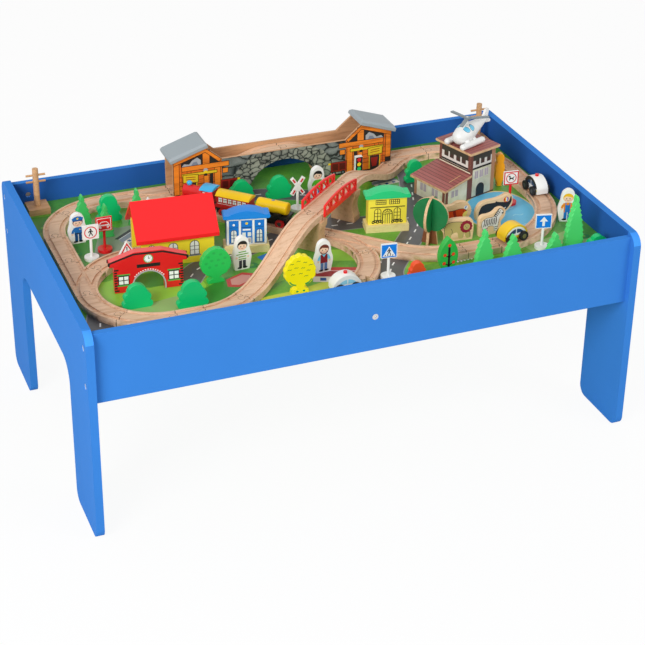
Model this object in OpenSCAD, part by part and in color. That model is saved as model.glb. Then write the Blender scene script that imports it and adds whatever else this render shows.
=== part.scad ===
// Wooden train table: a painted tray table on two end panels, with a peg-and-socket track layout
// and its buildings, trees, signs, figures and vehicles standing on the play board.
// Origin on the floor under the middle of the table, X along the length, front at -Y, Z up.

/* [Table] */
// Length over the end panels
table_l = 1000; // [980:5:1100]
// Depth of the end panels
table_w = 620; // [610:5:720]
// Height of the end panels
table_h = 396; // [370:2:480]
// Thickness of each end panel
panel_t = 14; // [12:0.5:18]
// Set-back of each long rail from the panel edge
rail_inset = 12.5; // [8:0.5:16]
// Thickness of the long rails
rail_t = 12; // [12:0.5:16]
// Height of the long rails
rail_h = 128; // [115:1:140]
// Drop of the rail top below the panel top
rail_drop = 7; // [2:0.5:12]
// Depth of the tray from the rail top to the board
tray_d = 44; // [38:1:50]
// Thickness of the play board
board_t = 5; // [3:0.5:6]
// Depth of the grooves that hold the board's edges
groove_d = 5; // [3:0.5:6]
// Width of each leg
leg_w = 134; // [110:1:160]
// Height of the opening between the legs
arch_h = 267; // [220:1:280]
// Radius of the opening's upper corners
arch_r = 40; // [20:1:60]
// Radius of the end panel's top corners
top_r = 24; // [10:1:30]
// Radius of the feet's corners
foot_r = 20; // [8:1:30]

/* [Fittings] */
// Diameter of the connector bolts
bolt_d = 6; // [5:0.5:6.5]
// Diameter of the bolt heads
head_d = 11; // [9:0.5:12]
// Thickness of the bolt heads
head_t = 4; // [3:0.5:5]
// Depth of the bolt heads below the painted face
head_sink = 0.6; // [0.2:0.1:1.5]
// Width across the flats of the hexagon socket
hex_d = 4; // [3:0.5:5]
// Diameter of the barrel nuts
nut_d = 10; // [9:0.5:12]
// Distance of a barrel nut from the end it pulls on
nut_back = 30; // [20:1:40]
// Height of the lower bolts above the rail's lower edge
bolt_low = 32; // [20:1:45]
// Height between the two bolts of a corner
bolt_rise = 71; // [50:1:75]
// Diameter of the locating dowels
dowel_d = 8; // [6:0.5:8]
// Length of the locating dowels
dowel_l = 30; // [24:1:36]
// Width of the cross-bar under the board
bar_w = 44; // [30:1:60]
// Height of the cross-bar under the board
bar_h = 30; // [22:1:36]
// Radial clearance of bolts, nuts and dowels in their holes
fit_gap = 0.2; // [0.1:0.05:0.4]

/* [Track] */
// Width of the wooden track
track_w = 40; // [36:0.5:44]
// Thickness of the wooden track
track_t = 12; // [10:0.5:14]
// Depth of the wheel grooves
rut_d = 3; // [2:0.5:4]
// Width of the wheel grooves
rut_w = 6.5; // [6:0.5:8]
// Distance between the middles of the wheel grooves
gauge = 26; // [24:0.5:27]
// Radius of the short curves
curve_r = 120; // [110:1:130]
// Radius of the long curves
wide_r = 165; // [150:1:175]
// Straight length of a switch
switch_l = 125; // [118:1:135]
// Length of the straight siding in the train shed
siding_l = 96; // [60:1:110]
// Diameter of a peg's head
peg_d = 11; // [9:0.5:12]
// Width of a peg's neck
neck_w = 5; // [4:0.5:6]
// Distance of a peg's middle from the end of its piece
peg_out = 9; // [8:0.5:11]
// Clearance round a peg in its socket
peg_gap = 0.6; // [0.4:0.1:1]
// Open gap between two pieces of track
joint_gap = 1; // [0.6:0.1:1.4]
// Height of the bridge under its deck
bridge_h = 60; // [56:1:66]
// Height of the hump under its track
hump_h = 54; // [46:1:58]
// Length of the bridge
bridge_l = 136; // [120:1:150]
// Distance of the bridge's middle past the line it crosses
bridge_shift = 25; // [15:1:35]
// Turn that the slack of each joint at the bridge allows
bridge_bend = 3; // [0:0.5:3]
// Level stretch at each end of a ramp
ramp_flat = 16; // [12:1:22]
// Thickness of a bridge pier along the track
pier_t = 24; // [18:1:30]
// Width of a bridge pier across the track
pier_w = 48; // [42:1:56]
// Thickness of the bridge's lattice guards
guard_t = 4; // [3:0.5:5]
// Height of the guards above the deck at their ends
guard_h = 15; // [12:1:20]
// Extra height of the guards at mid-span
guard_crown = 7; // [4:1:12]
// Gap between the left end panel and the loop's outer edge
loop_gap_left = 20; // [14:1:26]
// Gap between the right end panel and the loop's outer edge
loop_gap_right = 16; // [12:1:24]
// Gap between the back rail and the loop's outer edge
loop_gap_back = 33.5; // [28:0.5:40]
// Gap between the front rail and the loop's outer edge
loop_gap_front = 32.5; // [26:0.5:40]
// Length of the back run over its two switches
back_run = 656; // [640:1:660]
// Length of the straight track along the right end
side_run = 124; // [118:1:128]

/* [Buildings] */
// Thickness of the boards of the buildings
ply_t = 5; // [4:0.5:6]
// Length of the train shed's roof
shed_l = 147; // [130:1:160]
// Half depth of the train shed over its walls
shed_half = 44; // [41:1:54]
// Height of the train shed's eaves
shed_eave = 58; // [54:1:72]
// Height of the train shed's ridge
shed_ridge = 103; // [95:1:120]
// Overhang of the train shed's roof
shed_over = 8; // [5:0.5:10]
// Thickness of the station arch
station_t = 14; // [10:1:20]
// Width of the station's wall
station_w = 118; // [108:1:126]
// Height of the station's roof
station_h = 75; // [70:1:90]
// Radius of the station's archway
station_arch_r = 27; // [22:1:30]
// Length of the mine's side boards
mine_l = 443; // [420:1:450]
// Height of the mine's eaves
mine_eave = 79; // [74:1:88]
// Height of the mine's ridges
mine_peak = 100; // [94:1:112]
// Height of the mine's side boards between the sheds
mine_mid = 72; // [66:1:76]
// Distance of each ridge from the mine's middle
mine_peak_x = 158; // [150:1:166]
// Run of each shed's inner slope from its ridge
mine_fall = 33; // [26:1:40]
// Half width of the mine's arch at the board
mine_arch_w = 72; // [62:1:78]
// Height of the mine's arch
mine_arch_h = 52; // [44:1:56]
// Thickness of the mine's roofs
mine_roof_t = 10; // [7:0.5:12]
// Chamfer round the top of the mine's roofs
mine_bevel = 4; // [2:0.5:5]
// Overhang of the mine's roofs
mine_over = 6; // [4:0.5:9]
// Clear width between the mine's side boards
mine_gap = 43; // [42:0.5:46]
// Width of the castle tower
tower_w = 64; // [58:1:70]
// Depth of the castle tower
tower_d = 85; // [76:1:90]
// Height of the castle tower's walls
tower_h = 92; // [84:1:100]
// Width of the low castle house
hall_w = 62; // [54:1:66]
// Height of the low castle house against the tower
hall_high = 48; // [44:1:56]
// Height of the low castle house at its eave
hall_low = 35; // [30:1:40]
// Overhang of the castle roofs
castle_eave = 6; // [4:0.5:8]
// Length of a block house's base
base_l = 80; // [76:1:90]
// Depth of a block house's base
base_d = 34; // [30:1:38]
// Thickness of a block house's base
base_t = 14; // [10:1:18]
// Height of a block house's wall
block_h = 52; // [46:1:56]
// Width of a block house's wall
block_w = 71; // [64:1:75]
// Thickness of a block house's wall
block_t = 22; // [16:1:26]
// Height of a block house's roof
block_roof_h = 15; // [12:0.5:20]
// Length of a block house's roof
house_roof_l = 84; // [78:1:92]
// Depth of a block house's roof
house_roof_d = 28; // [26:1:36]
// Thickness of a block house's eaves
house_eave = 7; // [5:0.5:9]
// Height of the telegraph poles
pole_h = 86; // [76:1:100]

/* [Small pieces] */
// Thickness of the cut-out trees
tree_t = 12; // [9:0.5:14]
// Thickness of the cut-out figures
figure_t = 8; // [6:0.5:10]
// Thickness of the cut-out animals
animal_t = 9; // [7:0.5:11]
// Diameter of a sign's post
post_d = 5; // [4:0.5:6]
// Height of a sign's post
post_h = 40; // [34:1:46]
// Diameter of a sign's foot
foot_d = 26; // [22:1:28]
// Thickness of a sign's foot
foot_t = 6; // [4:0.5:8]
// Width of a sign's plate
plate_w = 29; // [26:1:34]
// Height of a sign's plate
plate_h = 27; // [24:1:32]
// Thickness of a sign's plate
plate_t = 4; // [3:0.5:5]
// Length of the crossing sign's bars
cross_l = 41; // [36:1:44]
// Width of the crossing sign's bars
cross_w = 7; // [5:0.5:9]
// Slope of the crossing sign's bars
cross_a = 55; // [45:1:60]
// Height of the signal's post
signal_post_h = 21; // [16:1:30]
// Height of the signal's lamp box
lamp_box_h = 32; // [28:1:40]
// Width of the signal's lamp box
lamp_box_w = 14; // [12:0.5:18]
// Thickness of the signal's lamp box
lamp_box_t = 8; // [6:0.5:10]

/* [Vehicles] */
// Diameter of the train's wheels
wheel_d = 17; // [15:0.5:18]
// Width of a wheel
wheel_w = 5; // [4:0.5:5.5]
// Diameter of the axles
axle_d = 3; // [2.5:0.5:4]
// Radial running clearance of an axle in its bore
axle_gap = 0.05; // [0.03:0.01:0.09]
// Clearance of a wheel above what it runs on
wheel_gap = 0.3; // [0.2:0.05:0.5]
// Side clearance of a wheel
side_gap = 1; // [0.6:0.1:1.4]
// Length of the engine
engine_l = 66; // [60:1:70]
// Radius of the engine's boiler
boiler_r = 11; // [9:0.5:12]
// Length of the engine's cab
cab_l = 20; // [16:1:24]
// Height of the cab's walls above the boiler
cab_rise = 1; // [0.5:0.5:4]
// Diameter of the ball on the boiler
ball_d = 10; // [8:0.5:12]
// Length of a wagon
wagon_l = 68; // [64:1:76]
// Width of the engine and the wagons
wagon_w = 32; // [28:1:34]
// Thickness of the wagons' floors
floor_t = 5; // [4:0.5:6]
// Gap between two coupled vehicles
couple_gap = 8; // [7:0.5:11]
// Diameter of a coupling disc
disc_d = 8; // [6:0.5:9]
// Height of the coach's sides
coach_h = 17; // [14:0.5:18]
// Radius of the tank
tank_r = 12; // [10:0.5:12.5]
// Distance of the tank wagon's middle from the switch behind it
train_u = 108; // [100:1:116]
// Length of a car
car_l = 52; // [46:1:56]
// Width of a car's body
car_w = 23; // [20:1:25]
// Height of a car's body
car_h = 32; // [28:1:36]
// Diameter of a car's wheels
car_wheel_d = 18; // [15:0.5:19]
// Distance between a car's axles
car_base = 29; // [26:1:32]
// Diameter of the helicopter's cabin
cabin_d = 38; // [34:1:40]
// Diameter of the helicopter's nose
nose_d = 30; // [26:1:33]
// Reach of the nose's middle ahead of the cabin's
nose_x = 14; // [10:1:18]
// Length of the helicopter's tail from the cabin's middle
tail_l = 54; // [46:1:58]
// Upward slope of the helicopter's tail
tail_a = 14; // [8:1:18]
// Diameter of the helicopter's floats
float_d = 12; // [10:0.5:14]
// Length of the helicopter's floats
float_l = 66; // [58:1:72]
// Distance between the middles of the floats
float_gap = 39; // [36:1:42]
// Length of a rotor blade from the mast
blade_l = 42; // [36:1:46]
// Diameter of the rotor's mast
mast_d = 4; // [3:0.5:5]

/* [Hidden] */
$fn = 48;

// Table heights and inner faces
inner_l = table_l - 2 * panel_t;
rail_in = table_w / 2 - rail_inset - rail_t;
rail_mid = rail_in + rail_t / 2;
rail_top = table_h - rail_drop;
rail_z = rail_top - rail_h;
board_z = rail_top - tray_d;
bar_z = board_z - board_t - bar_h;
bolt_zs = [rail_z + bolt_low, rail_z + bolt_low + bolt_rise];
dowel_z = rail_z + bolt_low + bolt_rise / 2;
recess = head_t + head_sink;
bore_d = bolt_d + 2 * fit_gap;
bolt_past = 4;

// Track lines: x of the side runs, y of the back and front runs
left_x = -(inner_l / 2 - loop_gap_left - track_w / 2);
right_x = inner_l / 2 - loop_gap_right - track_w / 2;
back_y = rail_in - loop_gap_back - track_w / 2;
front_y = -(rail_in - loop_gap_front - track_w / 2);
ur = curve_r * sin(45);
uw = wide_r * sin(45);
back_c = back_y - curve_r;
front_c = front_y + curve_r;
west_x = left_x + curve_r;
east_x = right_x - curve_r;
wide_c = back_c - side_run;
tail_x = west_x + back_run;
bend_slack = track_w / 2 * tan(bridge_bend);

// Diagonal line of the train, x + y = diag, from the back-left switch to the middle switch
fork = [west_x + uw, back_y - wide_r + uw];
diag = fork[0] + fork[1];
wide_x = diag - wide_c + 2 * uw;
merge = [wide_x - uw, wide_c - uw];
yard = merge + [-1, 1] * switch_l * sin(45);
dive_l = norm(fork - yard);

// Rising line to the back-right switch, y = x + rise_c; the deck and the ramp below it turn off a little
rise_c = back_c - tail_x + curve_r * sqrt(2);
deck_a = 45 - bridge_bend;
fall_a = deck_a - bridge_bend;
crossing = [(diag - rise_c) / 2, (diag + rise_c) / 2];
ramp_top = crossing + [1, 1] * (bridge_shift + bridge_l / 2) * sin(45);
ramp_end = ramp_top - bridge_l * [cos(deck_a), sin(deck_a)];
back_fork = [tail_x - ur, back_c + ur];
fall_l = (ramp_end[1] - front_c + curve_r * cos(fall_a)) / sin(fall_a);
front_fork = ramp_end - fall_l * [cos(fall_a), sin(fall_a)];
front_x = front_fork[0] - curve_r * sin(fall_a);
deck_z = bridge_h + track_t;

// Mine over the back run
mine_x = left_x + 469;
mine_in = back_y - mine_gap / 2;
hump_from = west_x + switch_l;
hump_to = tail_x - switch_l;

// Wheels and vehicles
run_z = board_z + track_t - rut_d;
axle_z = run_z + wheel_gap + wheel_d / 2;
bed_z = axle_z + wheel_d / 2 + side_gap;
keel_w = gauge - wheel_w - 2 * side_gap;
axle_x = wagon_l / 2 - 15;
cab_h = 2 * boiler_r - 1 + cab_rise;
coach_u = train_u + wagon_l + couple_gap;
engine_u = coach_u + wagon_l / 2 + couple_gap + engine_l / 2;
top_z = board_z + track_t;
roof_z = board_z + tower_h + ply_t;

// A plain round-cornered rectangle standing on y = 0
module rounded(w, h, r_top, r_low) {
  difference() {
    translate([-w / 2, 0]) square([w, h]);
    for (s = [-1, 1]) {
      translate([s * w / 2, h]) corner_cut(-s, -1, r_top);
      translate([s * w / 2, 0]) corner_cut(-s, 1, r_low);
    }
  }
}

// What a corner of radius r loses, for a corner that opens towards (sx, sy)
module corner_cut(sx, sy, r) {
  mirror([sx > 0 ? 0 : 1, 0]) mirror([0, sy > 0 ? 0 : 1]) difference() {
    translate([-1, -1]) square(r + 1);
    translate([r, r]) circle(r);
  }
}

// The YZ outline of an end panel, drawn in XY
module panel_outline() {
  gap = table_w - 2 * leg_w;
  difference() {
    rounded(table_w, table_h, top_r, foot_r);
    translate([0, -1]) rounded(gap, arch_h + 1, arch_r, 0);
    for (s = [-1, 1]) translate([s * gap / 2, 0]) corner_cut(s, 1, foot_r);
  }
}

// A bolt that lies along +X with its head's outer face at x = 0
module bolt(shank) {
  difference() {
    union() {
      rotate([0, 90, 0]) cylinder(d = head_d, h = head_t);
      translate([head_t - 0.1, 0, 0]) rotate([0, 90, 0]) cylinder(d = bolt_d, h = shank + 0.1);
    }
    translate([-1, 0, 0]) rotate([0, 90, 0]) cylinder(d = hex_d / cos(30), h = head_t * 0.6 + 1, $fn = 6);
  }
}

// Counterbore and clear hole for a bolt that comes in along +X at x = 0
module bolt_hole(depth) {
  translate([-1, 0, 0]) rotate([0, 90, 0]) cylinder(d = head_d + 2 * fit_gap, h = recess + 1);
  rotate([0, 90, 0]) cylinder(d = bore_d, h = depth);
}

module end_panel() {
  translate([-table_l / 2, 0, 0]) difference() {
    rotate([90, 0, 90]) linear_extrude(panel_t) panel_outline();
    translate([panel_t - groove_d, -rail_in - groove_d, board_z - board_t - fit_gap])
      cube([groove_d + 1, 2 * (rail_in + groove_d), board_t + 2 * fit_gap]);
    for (y = [-rail_mid, rail_mid]) {
      for (z = bolt_zs) translate([0, y, z]) bolt_hole(panel_t + 1);
      translate([panel_t - dowel_l / 3, y, dowel_z]) rotate([0, 90, 0])
        cylinder(d = dowel_d + 2 * fit_gap, h = dowel_l);
    }
  }
}

module left_end_panel() color([0.20, 0.47, 0.86]) end_panel();

module right_end_panel() color([0.20, 0.47, 0.86]) mirror([1, 0, 0]) end_panel();

// A long rail on the +Y side, with the board's groove and its fittings' holes
module long_rail() {
  reach = nut_back + nut_d / 2 + bolt_past + 2;
  difference() {
    translate([-inner_l / 2, rail_in, rail_z]) cube([inner_l, rail_t, rail_h]);
    translate([-inner_l / 2 - 1, rail_in - 1, board_z - board_t - fit_gap])
      cube([inner_l + 2, groove_d + 1, board_t + 2 * fit_gap]);
    for (s = [0, 1]) mirror([s, 0, 0]) {
      for (z = bolt_zs) translate([-inner_l / 2, rail_mid, z]) {
        translate([-1, 0, 0]) rotate([0, 90, 0]) cylinder(d = bore_d, h = reach + 1);
        translate([nut_back, rail_t / 2 - 2, 0]) rotate([90, 0, 0])
          cylinder(d = nut_d + 2 * fit_gap, h = rail_t);
      }
      translate([-inner_l / 2 - 1, rail_mid, dowel_z]) rotate([0, 90, 0])
        cylinder(d = dowel_d + 2 * fit_gap, h = dowel_l * 2 / 3 + 2);
    }
    translate([0, rail_in + rail_t, bar_z + bar_h / 2]) rotate(-90) bolt_hole(rail_t + 1);
  }
}

module front_rail() color([0.22, 0.48, 0.84]) mirror([0, 1, 0]) long_rail();

module back_rail() color([0.22, 0.48, 0.84]) long_rail();

module play_board() {
  edge = groove_d - fit_gap;
  color([0.36, 0.66, 0.22])
    translate([-inner_l / 2 - edge, -rail_in - edge, board_z - board_t])
      cube([inner_l + 2 * edge, 2 * (rail_in + edge), board_t]);
}

module cross_bar() {
  color([0.72, 0.56, 0.38]) difference() {
    translate([-bar_w / 2, -rail_in, bar_z]) cube([bar_w, 2 * rail_in, bar_h]);
    for (s = [0, 1]) mirror([0, s, 0]) translate([0, rail_in, bar_z + bar_h / 2]) {
      rotate([90, 0, 0]) translate([0, 0, -1]) cylinder(d = bore_d, h = nut_back + nut_d / 2 + bolt_past + 3);
      translate([0, -nut_back, -bar_h / 2 - 1]) cylinder(d = nut_d + 2 * fit_gap, h = bar_h - 2);
    }
  }
}

module connector_bolts() {
  shank = panel_t - recess + nut_back + nut_d / 2 + bolt_past;
  cross = rail_t - recess + nut_back + nut_d / 2 + bolt_past;
  color([0.72, 0.72, 0.72]) {
    for (s = [0, 1], y = [-rail_mid, rail_mid], z = bolt_zs) mirror([s, 0, 0])
      translate([-table_l / 2 + recess - head_t, y, z]) bolt(shank);
    for (s = [0, 1]) mirror([0, s, 0])
      translate([0, rail_in + rail_t - recess + head_t, bar_z + bar_h / 2]) rotate(-90) bolt(cross);
  }
}

// A barrel nut whose axis is Z, with its cross hole along X
module barrel_nut(h) {
  difference() {
    cylinder(d = nut_d, h = h);
    translate([-nut_d, 0, h / 2]) rotate([0, 90, 0]) cylinder(d = bolt_d + fit_gap, h = 2 * nut_d);
  }
}

module barrel_nuts() {
  in_rail = rail_t - 4;
  in_bar = bar_h - 6;
  color([0.6, 0.6, 0.6]) {
    for (s = [0, 1], t = [0, 1], z = bolt_zs) mirror([s, 0, 0]) mirror([0, t, 0])
      translate([-inner_l / 2 + nut_back, rail_mid + in_rail / 2, z]) rotate([90, 0, 0]) barrel_nut(in_rail);
    for (s = [0, 1]) mirror([0, s, 0])
      translate([0, rail_in - nut_back, bar_z + 3]) rotate(90) barrel_nut(in_bar);
  }
}

module locating_dowels() {
  color([0.8, 0.65, 0.45])
    for (s = [0, 1], y = [-rail_mid, rail_mid]) mirror([s, 0, 0])
      translate([-inner_l / 2 - dowel_l / 3 + fit_gap, y, dowel_z]) rotate([0, 90, 0])
        cylinder(d = dowel_d, h = dowel_l);
}

// Track. Every piece starts at the origin and runs towards +X, lying on z = 0.
module rut_profile() {
  for (s = [-1, 1]) translate([s * gauge / 2 - rut_w / 2, track_t - rut_d]) square([rut_w, rut_d + 1]);
}

module bar_profile() translate([-track_w / 2, 0]) square([track_w, track_t]);

module run_along(l) rotate([90, 0, 90]) linear_extrude(l) children();

// Turns a profile to the left (side 1) or right (side -1) through angle a
module run_round(r, a, side) {
  mirror([0, side > 0 ? 0 : 1, 0]) translate([0, r, 0]) rotate(-90)
    rotate_extrude(angle = a, $fn = 180) translate([r, 0]) children();
}

// Carries its children to the end of a curve
module to_end(r, a, side) translate([r * sin(a), side * r * (1 - cos(a)), 0]) rotate(side * a) children();

module peg(grow = 0, up = 0, slack = 0) {
  translate([-1 - joint_gap - slack, -neck_w / 2 - grow, -up])
    cube([peg_out + 1 + slack, neck_w + 2 * grow, track_t + 2 * up]);
  translate([peg_out - joint_gap, 0, -up]) cylinder(d = peg_d + 2 * grow, h = track_t + 2 * up);
}

module socket() peg(peg_gap, 1);

function trim(r) = joint_gap / r * 180 / PI;

// A piece is shorter by its slack where the next one lies at an angle
module straight_piece(l, slack = 0) {
  difference() {
    run_along(l - joint_gap - slack) bar_profile();
    translate([-1, 0, 0]) run_along(l + 2) rut_profile();
    socket();
  }
  translate([l, 0, 0]) peg(slack = slack);
}

module curve_piece(r, a, side) {
  difference() {
    run_round(r, a - trim(r), side) difference() {
      bar_profile();
      rut_profile();
    }
    socket();
  }
  to_end(r, a, side) peg();
}

// A switch has one straight and one curved leg; a leg's end holds a peg (1) or a socket (0)
module switch_piece(r, side, start, leg, branch) {
  difference() {
    union() {
      run_along(switch_l - joint_gap) bar_profile();
      run_round(r, 45 - trim(r), side) bar_profile();
    }
    translate([-1, 0, 0]) run_along(switch_l + 2) rut_profile();
    run_round(r, 46, side) rut_profile();
    if (start == 0) socket();
    if (start == 1) translate([-1, -track_w, -1]) cube([joint_gap + 1, 2 * track_w, track_t + 2]);
    if (leg == 0) translate([switch_l, 0, 0]) mirror([1, 0, 0]) socket();
    if (branch == 0) to_end(r, 45, side) mirror([1, 0, 0]) socket();
  }
  if (start == 1) mirror([1, 0, 0]) peg(slack = joint_gap);
  if (leg == 1) translate([switch_l, 0, 0]) peg();
  if (branch == 1) to_end(r, 45, side) peg();
}

// Height of an S-shaped ramp at x, for a ramp of length l from h0 to h1
function ease(u) = u * u * (3 - 2 * u);
function ramp_at(x, l, h0, h1) =
  h0 + (h1 - h0) * ease(min(1, max(0, (x - ramp_flat) / (l - 2 * ramp_flat))));

// Side view between two heights over the ramp's underside
module ramp_side(l, h0, h1, low, high, slack) {
  steps = 20;
  end = l - joint_gap - slack;
  xs = concat([0], [for (i = [0:steps]) ramp_flat + (end - 2 * ramp_flat) * i / steps], [end]);
  top = [for (x = xs) [x, ramp_at(x, end, h0, h1) + high]];
  under = [for (i = [len(xs) - 1:-1:0]) [xs[i], ramp_at(xs[i], end, h0, h1) + low]];
  polygon(concat(top, under));
}

module ramp_piece(l, h0, h1, slack = 0) {
  difference() {
    rotate([90, 0, 0]) linear_extrude(track_w, center = true) ramp_side(l, h0, h1, 0, track_t, slack);
    for (s = [-1, 1]) translate([0, s * gauge / 2, 0]) rotate([90, 0, 0])
      linear_extrude(rut_w, center = true) ramp_side(l, h0, h1, track_t - rut_d, track_t + 4, slack);
    translate([0, 0, h0]) socket();
  }
  translate([l, 0, h1]) peg(slack = slack);
}

// Puts a piece on the board at p, heading a degrees from +X
module lay(p, a = 0) translate([p[0], p[1], board_z]) rotate(a) children();

module beech() color([0.86, 0.70, 0.54]) children();

module curve_tracks() beech() {
  lay(front_fork, 180 + fall_a) curve_piece(curve_r, fall_a, -1);
  lay([west_x, front_y], 180) curve_piece(curve_r, 45, -1);
  lay([west_x - ur, front_c - ur], 135) curve_piece(curve_r, 45, -1);
  lay([left_x, back_c], 90) curve_piece(curve_r, 45, -1);
  lay([west_x - ur, back_c + ur], 45) curve_piece(curve_r, 45, -1);
  lay([west_x - ur, front_c + ur], 45) curve_piece(curve_r, 45, -1);
  lay([east_x, back_y], 0) curve_piece(curve_r, 45, -1);
  lay([east_x + ur, back_c + ur], -45) curve_piece(curve_r, 45, -1);
  lay([right_x, wide_c], -90) curve_piece(wide_r, 45, -1);
  lay([right_x - wide_r + uw, wide_c - uw], -135) curve_piece(wide_r, 45, -1);
  lay([wide_x, wide_c - wide_r], 180) curve_piece(wide_r, 45, -1);
  lay(yard + [curve_r - ur, -ur], -90) curve_piece(curve_r, 45, -1);
}

module straight_tracks() beech() {
  lay([front_x, front_y], 180) straight_piece(front_x - west_x);
  lay([left_x, front_c + switch_l], 90) straight_piece(back_c - front_c - switch_l);
  lay([west_x, front_c + curve_r]) straight_piece(siding_l);
  if (east_x - tail_x > 2 * (peg_out + peg_d)) lay([tail_x, back_y]) straight_piece(east_x - tail_x);
  lay([right_x, back_c], -90) straight_piece(back_c - wide_c);
  lay([right_x - wide_r, wide_c - wide_r], 180) straight_piece(right_x - wide_r - wide_x);
  for (i = [0, 1]) lay(fork + (yard - fork) * i / 2, -45) straight_piece(dive_l / 2);
}

module switch_tracks() beech() {
  lay([left_x, front_c], 90) switch_piece(curve_r, -1, 0, 1, 1);
  lay([west_x, back_y]) switch_piece(wide_r, -1, 0, 1, 1);
  lay([tail_x, back_y], 180) switch_piece(curve_r, 1, 1, 0, 1);
  lay(yard, -45) switch_piece(curve_r, -1, 0, 0, 1);
}

module ramp_tracks() beech() {
  lay([hump_from, back_y]) ramp_piece(mine_x - hump_from, 0, hump_h);
  lay([mine_x, back_y]) ramp_piece(hump_to - mine_x, hump_h, 0);
  lay(back_fork, 225) ramp_piece(norm(back_fork - ramp_top), 0, bridge_h, bend_slack);
  lay(ramp_end, 180 + fall_a) ramp_piece(fall_l, bridge_h, 0);
}

module bridge_deck() beech()
  lay(ramp_top, 180 + deck_a) translate([0, 0, bridge_h]) straight_piece(bridge_l, bend_slack);

// One lattice guard, standing on the line y = 0, as long as the bridge
module lattice_guard() {
  bays = 5;
  chord = 4;
  long = bridge_l - 2 * chord;
  bay = (long - chord) / bays;
  foot = track_t - 4;
  span_r = (pow(long / 2, 2) + pow(guard_crown, 2)) / (2 * guard_crown);
  rotate([90, 0, 0]) linear_extrude(guard_t) difference() {
    intersection() {
      translate([-long / 2, -foot]) square([long, foot + guard_h + guard_crown]);
      translate([0, guard_h + guard_crown - span_r]) circle(span_r, $fn = 180);
    }
    intersection() {
      translate([0, guard_h + guard_crown - span_r]) circle(span_r - chord, $fn = 180);
      for (i = [0:bays - 1]) translate([-long / 2 + chord + i * bay, 1]) {
        polygon([[0, 2], [0, guard_h + guard_crown], [bay - chord - 2, guard_h + guard_crown]]);
        polygon([[2, 0], [bay - chord, 0], [bay - chord, guard_h + guard_crown - 2]]);
      }
    }
  }
}

module bridge_guards() color([0.88, 0.12, 0.14])
  lay((ramp_top + ramp_end) / 2, 180 + deck_a) translate([0, 0, deck_z])
    for (s = [0, 1]) mirror([0, s, 0]) translate([0, -track_w / 2, 0]) lattice_guard();

module bridge_piers() beech()
  for (p = [ramp_top, ramp_end]) lay(p, 180 + deck_a) difference() {
    translate([-pier_t / 2, -pier_w / 2, 0]) cube([pier_t, pier_w, bridge_h]);
    for (s = [-1, 1]) translate([0, s * (pier_w / 2 + bridge_h * 0.62), bridge_h / 2]) rotate([0, 90, 0])
      cylinder(r = bridge_h * 0.7, h = pier_t + 2, center = true);
  }

// Buildings
shed_p = [left_x + 184, front_y + 238];
shed_a = -4.5;

module shed_walls() color([0.95, 0.80, 0.08])
  lay(shed_p, shed_a) for (s = [0, 1]) mirror([0, s, 0])
    translate([-shed_l / 2 + 8, -shed_half, 0]) cube([shed_l - 16, ply_t, shed_eave]);

module shed_roof() {
  pitch = (shed_ridge - shed_eave) / shed_half;
  low = shed_eave - pitch * shed_over;
  thick = ply_t * sqrt(1 + pitch * pitch);
  half = shed_half + shed_over;
  color([0.95, 0.16, 0.16]) lay(shed_p, shed_a) rotate([90, 0, 90])
    linear_extrude(shed_l, center = true)
      polygon([[-half, low], [0, shed_ridge], [half, low], [half, low + thick],
               [0, shed_ridge + thick], [-half, low + thick]]);
}

module station_arch() {
  eave = station_h - 25;
  half = station_w / 2;
  over = 8;
  color([0.85, 0.12, 0.12]) lay([left_x + 108, front_y + 129], -6) rotate([90, 0, 0])
    linear_extrude(station_t, center = true) difference() {
      union() {
        translate([-half, 0]) square([station_w, eave + 1]);
        polygon([[-half - over, eave], [half + over, eave], [half + over, eave + 10],
                 [24, station_h], [-24, station_h], [-half - over, eave + 10]]);
      }
      translate([0, 9]) circle(station_arch_r);
      translate([-station_arch_r, -1]) square([2 * station_arch_r, 10]);
    }
}

// Outline of a mine side board, symmetrical about x = 0
module mine_outline() {
  half = mine_l / 2;
  arch_big = (pow(mine_arch_w, 2) + pow(mine_arch_h, 2)) / (2 * mine_arch_h);
  right = [[half, 0], [half, mine_eave], [mine_peak_x, mine_peak],
           [mine_peak_x - mine_fall, mine_mid]];
  left = [for (i = [len(right) - 1:-1:0]) [-right[i][0], right[i][1]]];
  difference() {
    polygon(concat(right, left));
    translate([0, mine_arch_h - arch_big]) circle(arch_big, $fn = 96);
  }
}

// The front board is cut out at its foot where the rising track passes it
module mine_front_board() {
  way = mine_in - ply_t - rise_c - track_w * sin(45) - 1.5;
  color([0.88, 0.44, 0.12]) lay([mine_x, mine_in]) rotate([90, 0, 0]) linear_extrude(ply_t) difference() {
    mine_outline();
    translate([way - mine_x, -1]) square([mine_l, track_t + 2.5]);
  }
}

module mine_back_board() color([0.80, 0.64, 0.48])
  lay([mine_x, mine_in + mine_gap + ply_t]) rotate([90, 0, 0]) linear_extrude(ply_t) mine_outline();

// A slab over the corner (0, 0) with a chamfer all round its top
module bevelled(l, w, t, c) intersection() {
  translate([0, w, 0]) rotate([90, 0, 0]) linear_extrude(w) bevel_end(l, t, c);
  rotate([90, 0, 90]) linear_extrude(l) bevel_end(w, t, c);
}

module bevel_end(l, t, c) polygon([[0, 0], [l, 0], [l, t - c], [l - c, t], [c, t], [0, t - c]]);

module mine_roofs() {
  back = 5;
  run = mine_l / 2 - mine_peak_x;
  slope = atan2(mine_peak - mine_eave, run);
  deep = mine_gap + 2 * ply_t + 2 * mine_over;
  color([0.60, 0.63, 0.65]) for (s = [0, 1])
    lay([mine_x, mine_in + mine_gap / 2]) mirror([s, 0, 0])
      translate([mine_peak_x, -deep / 2, mine_peak]) rotate([0, slope, 0])
        translate([-back, 0, 0]) bevelled(run / cos(slope) + back + mine_over, deep, mine_roof_t, mine_bevel);
}

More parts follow.
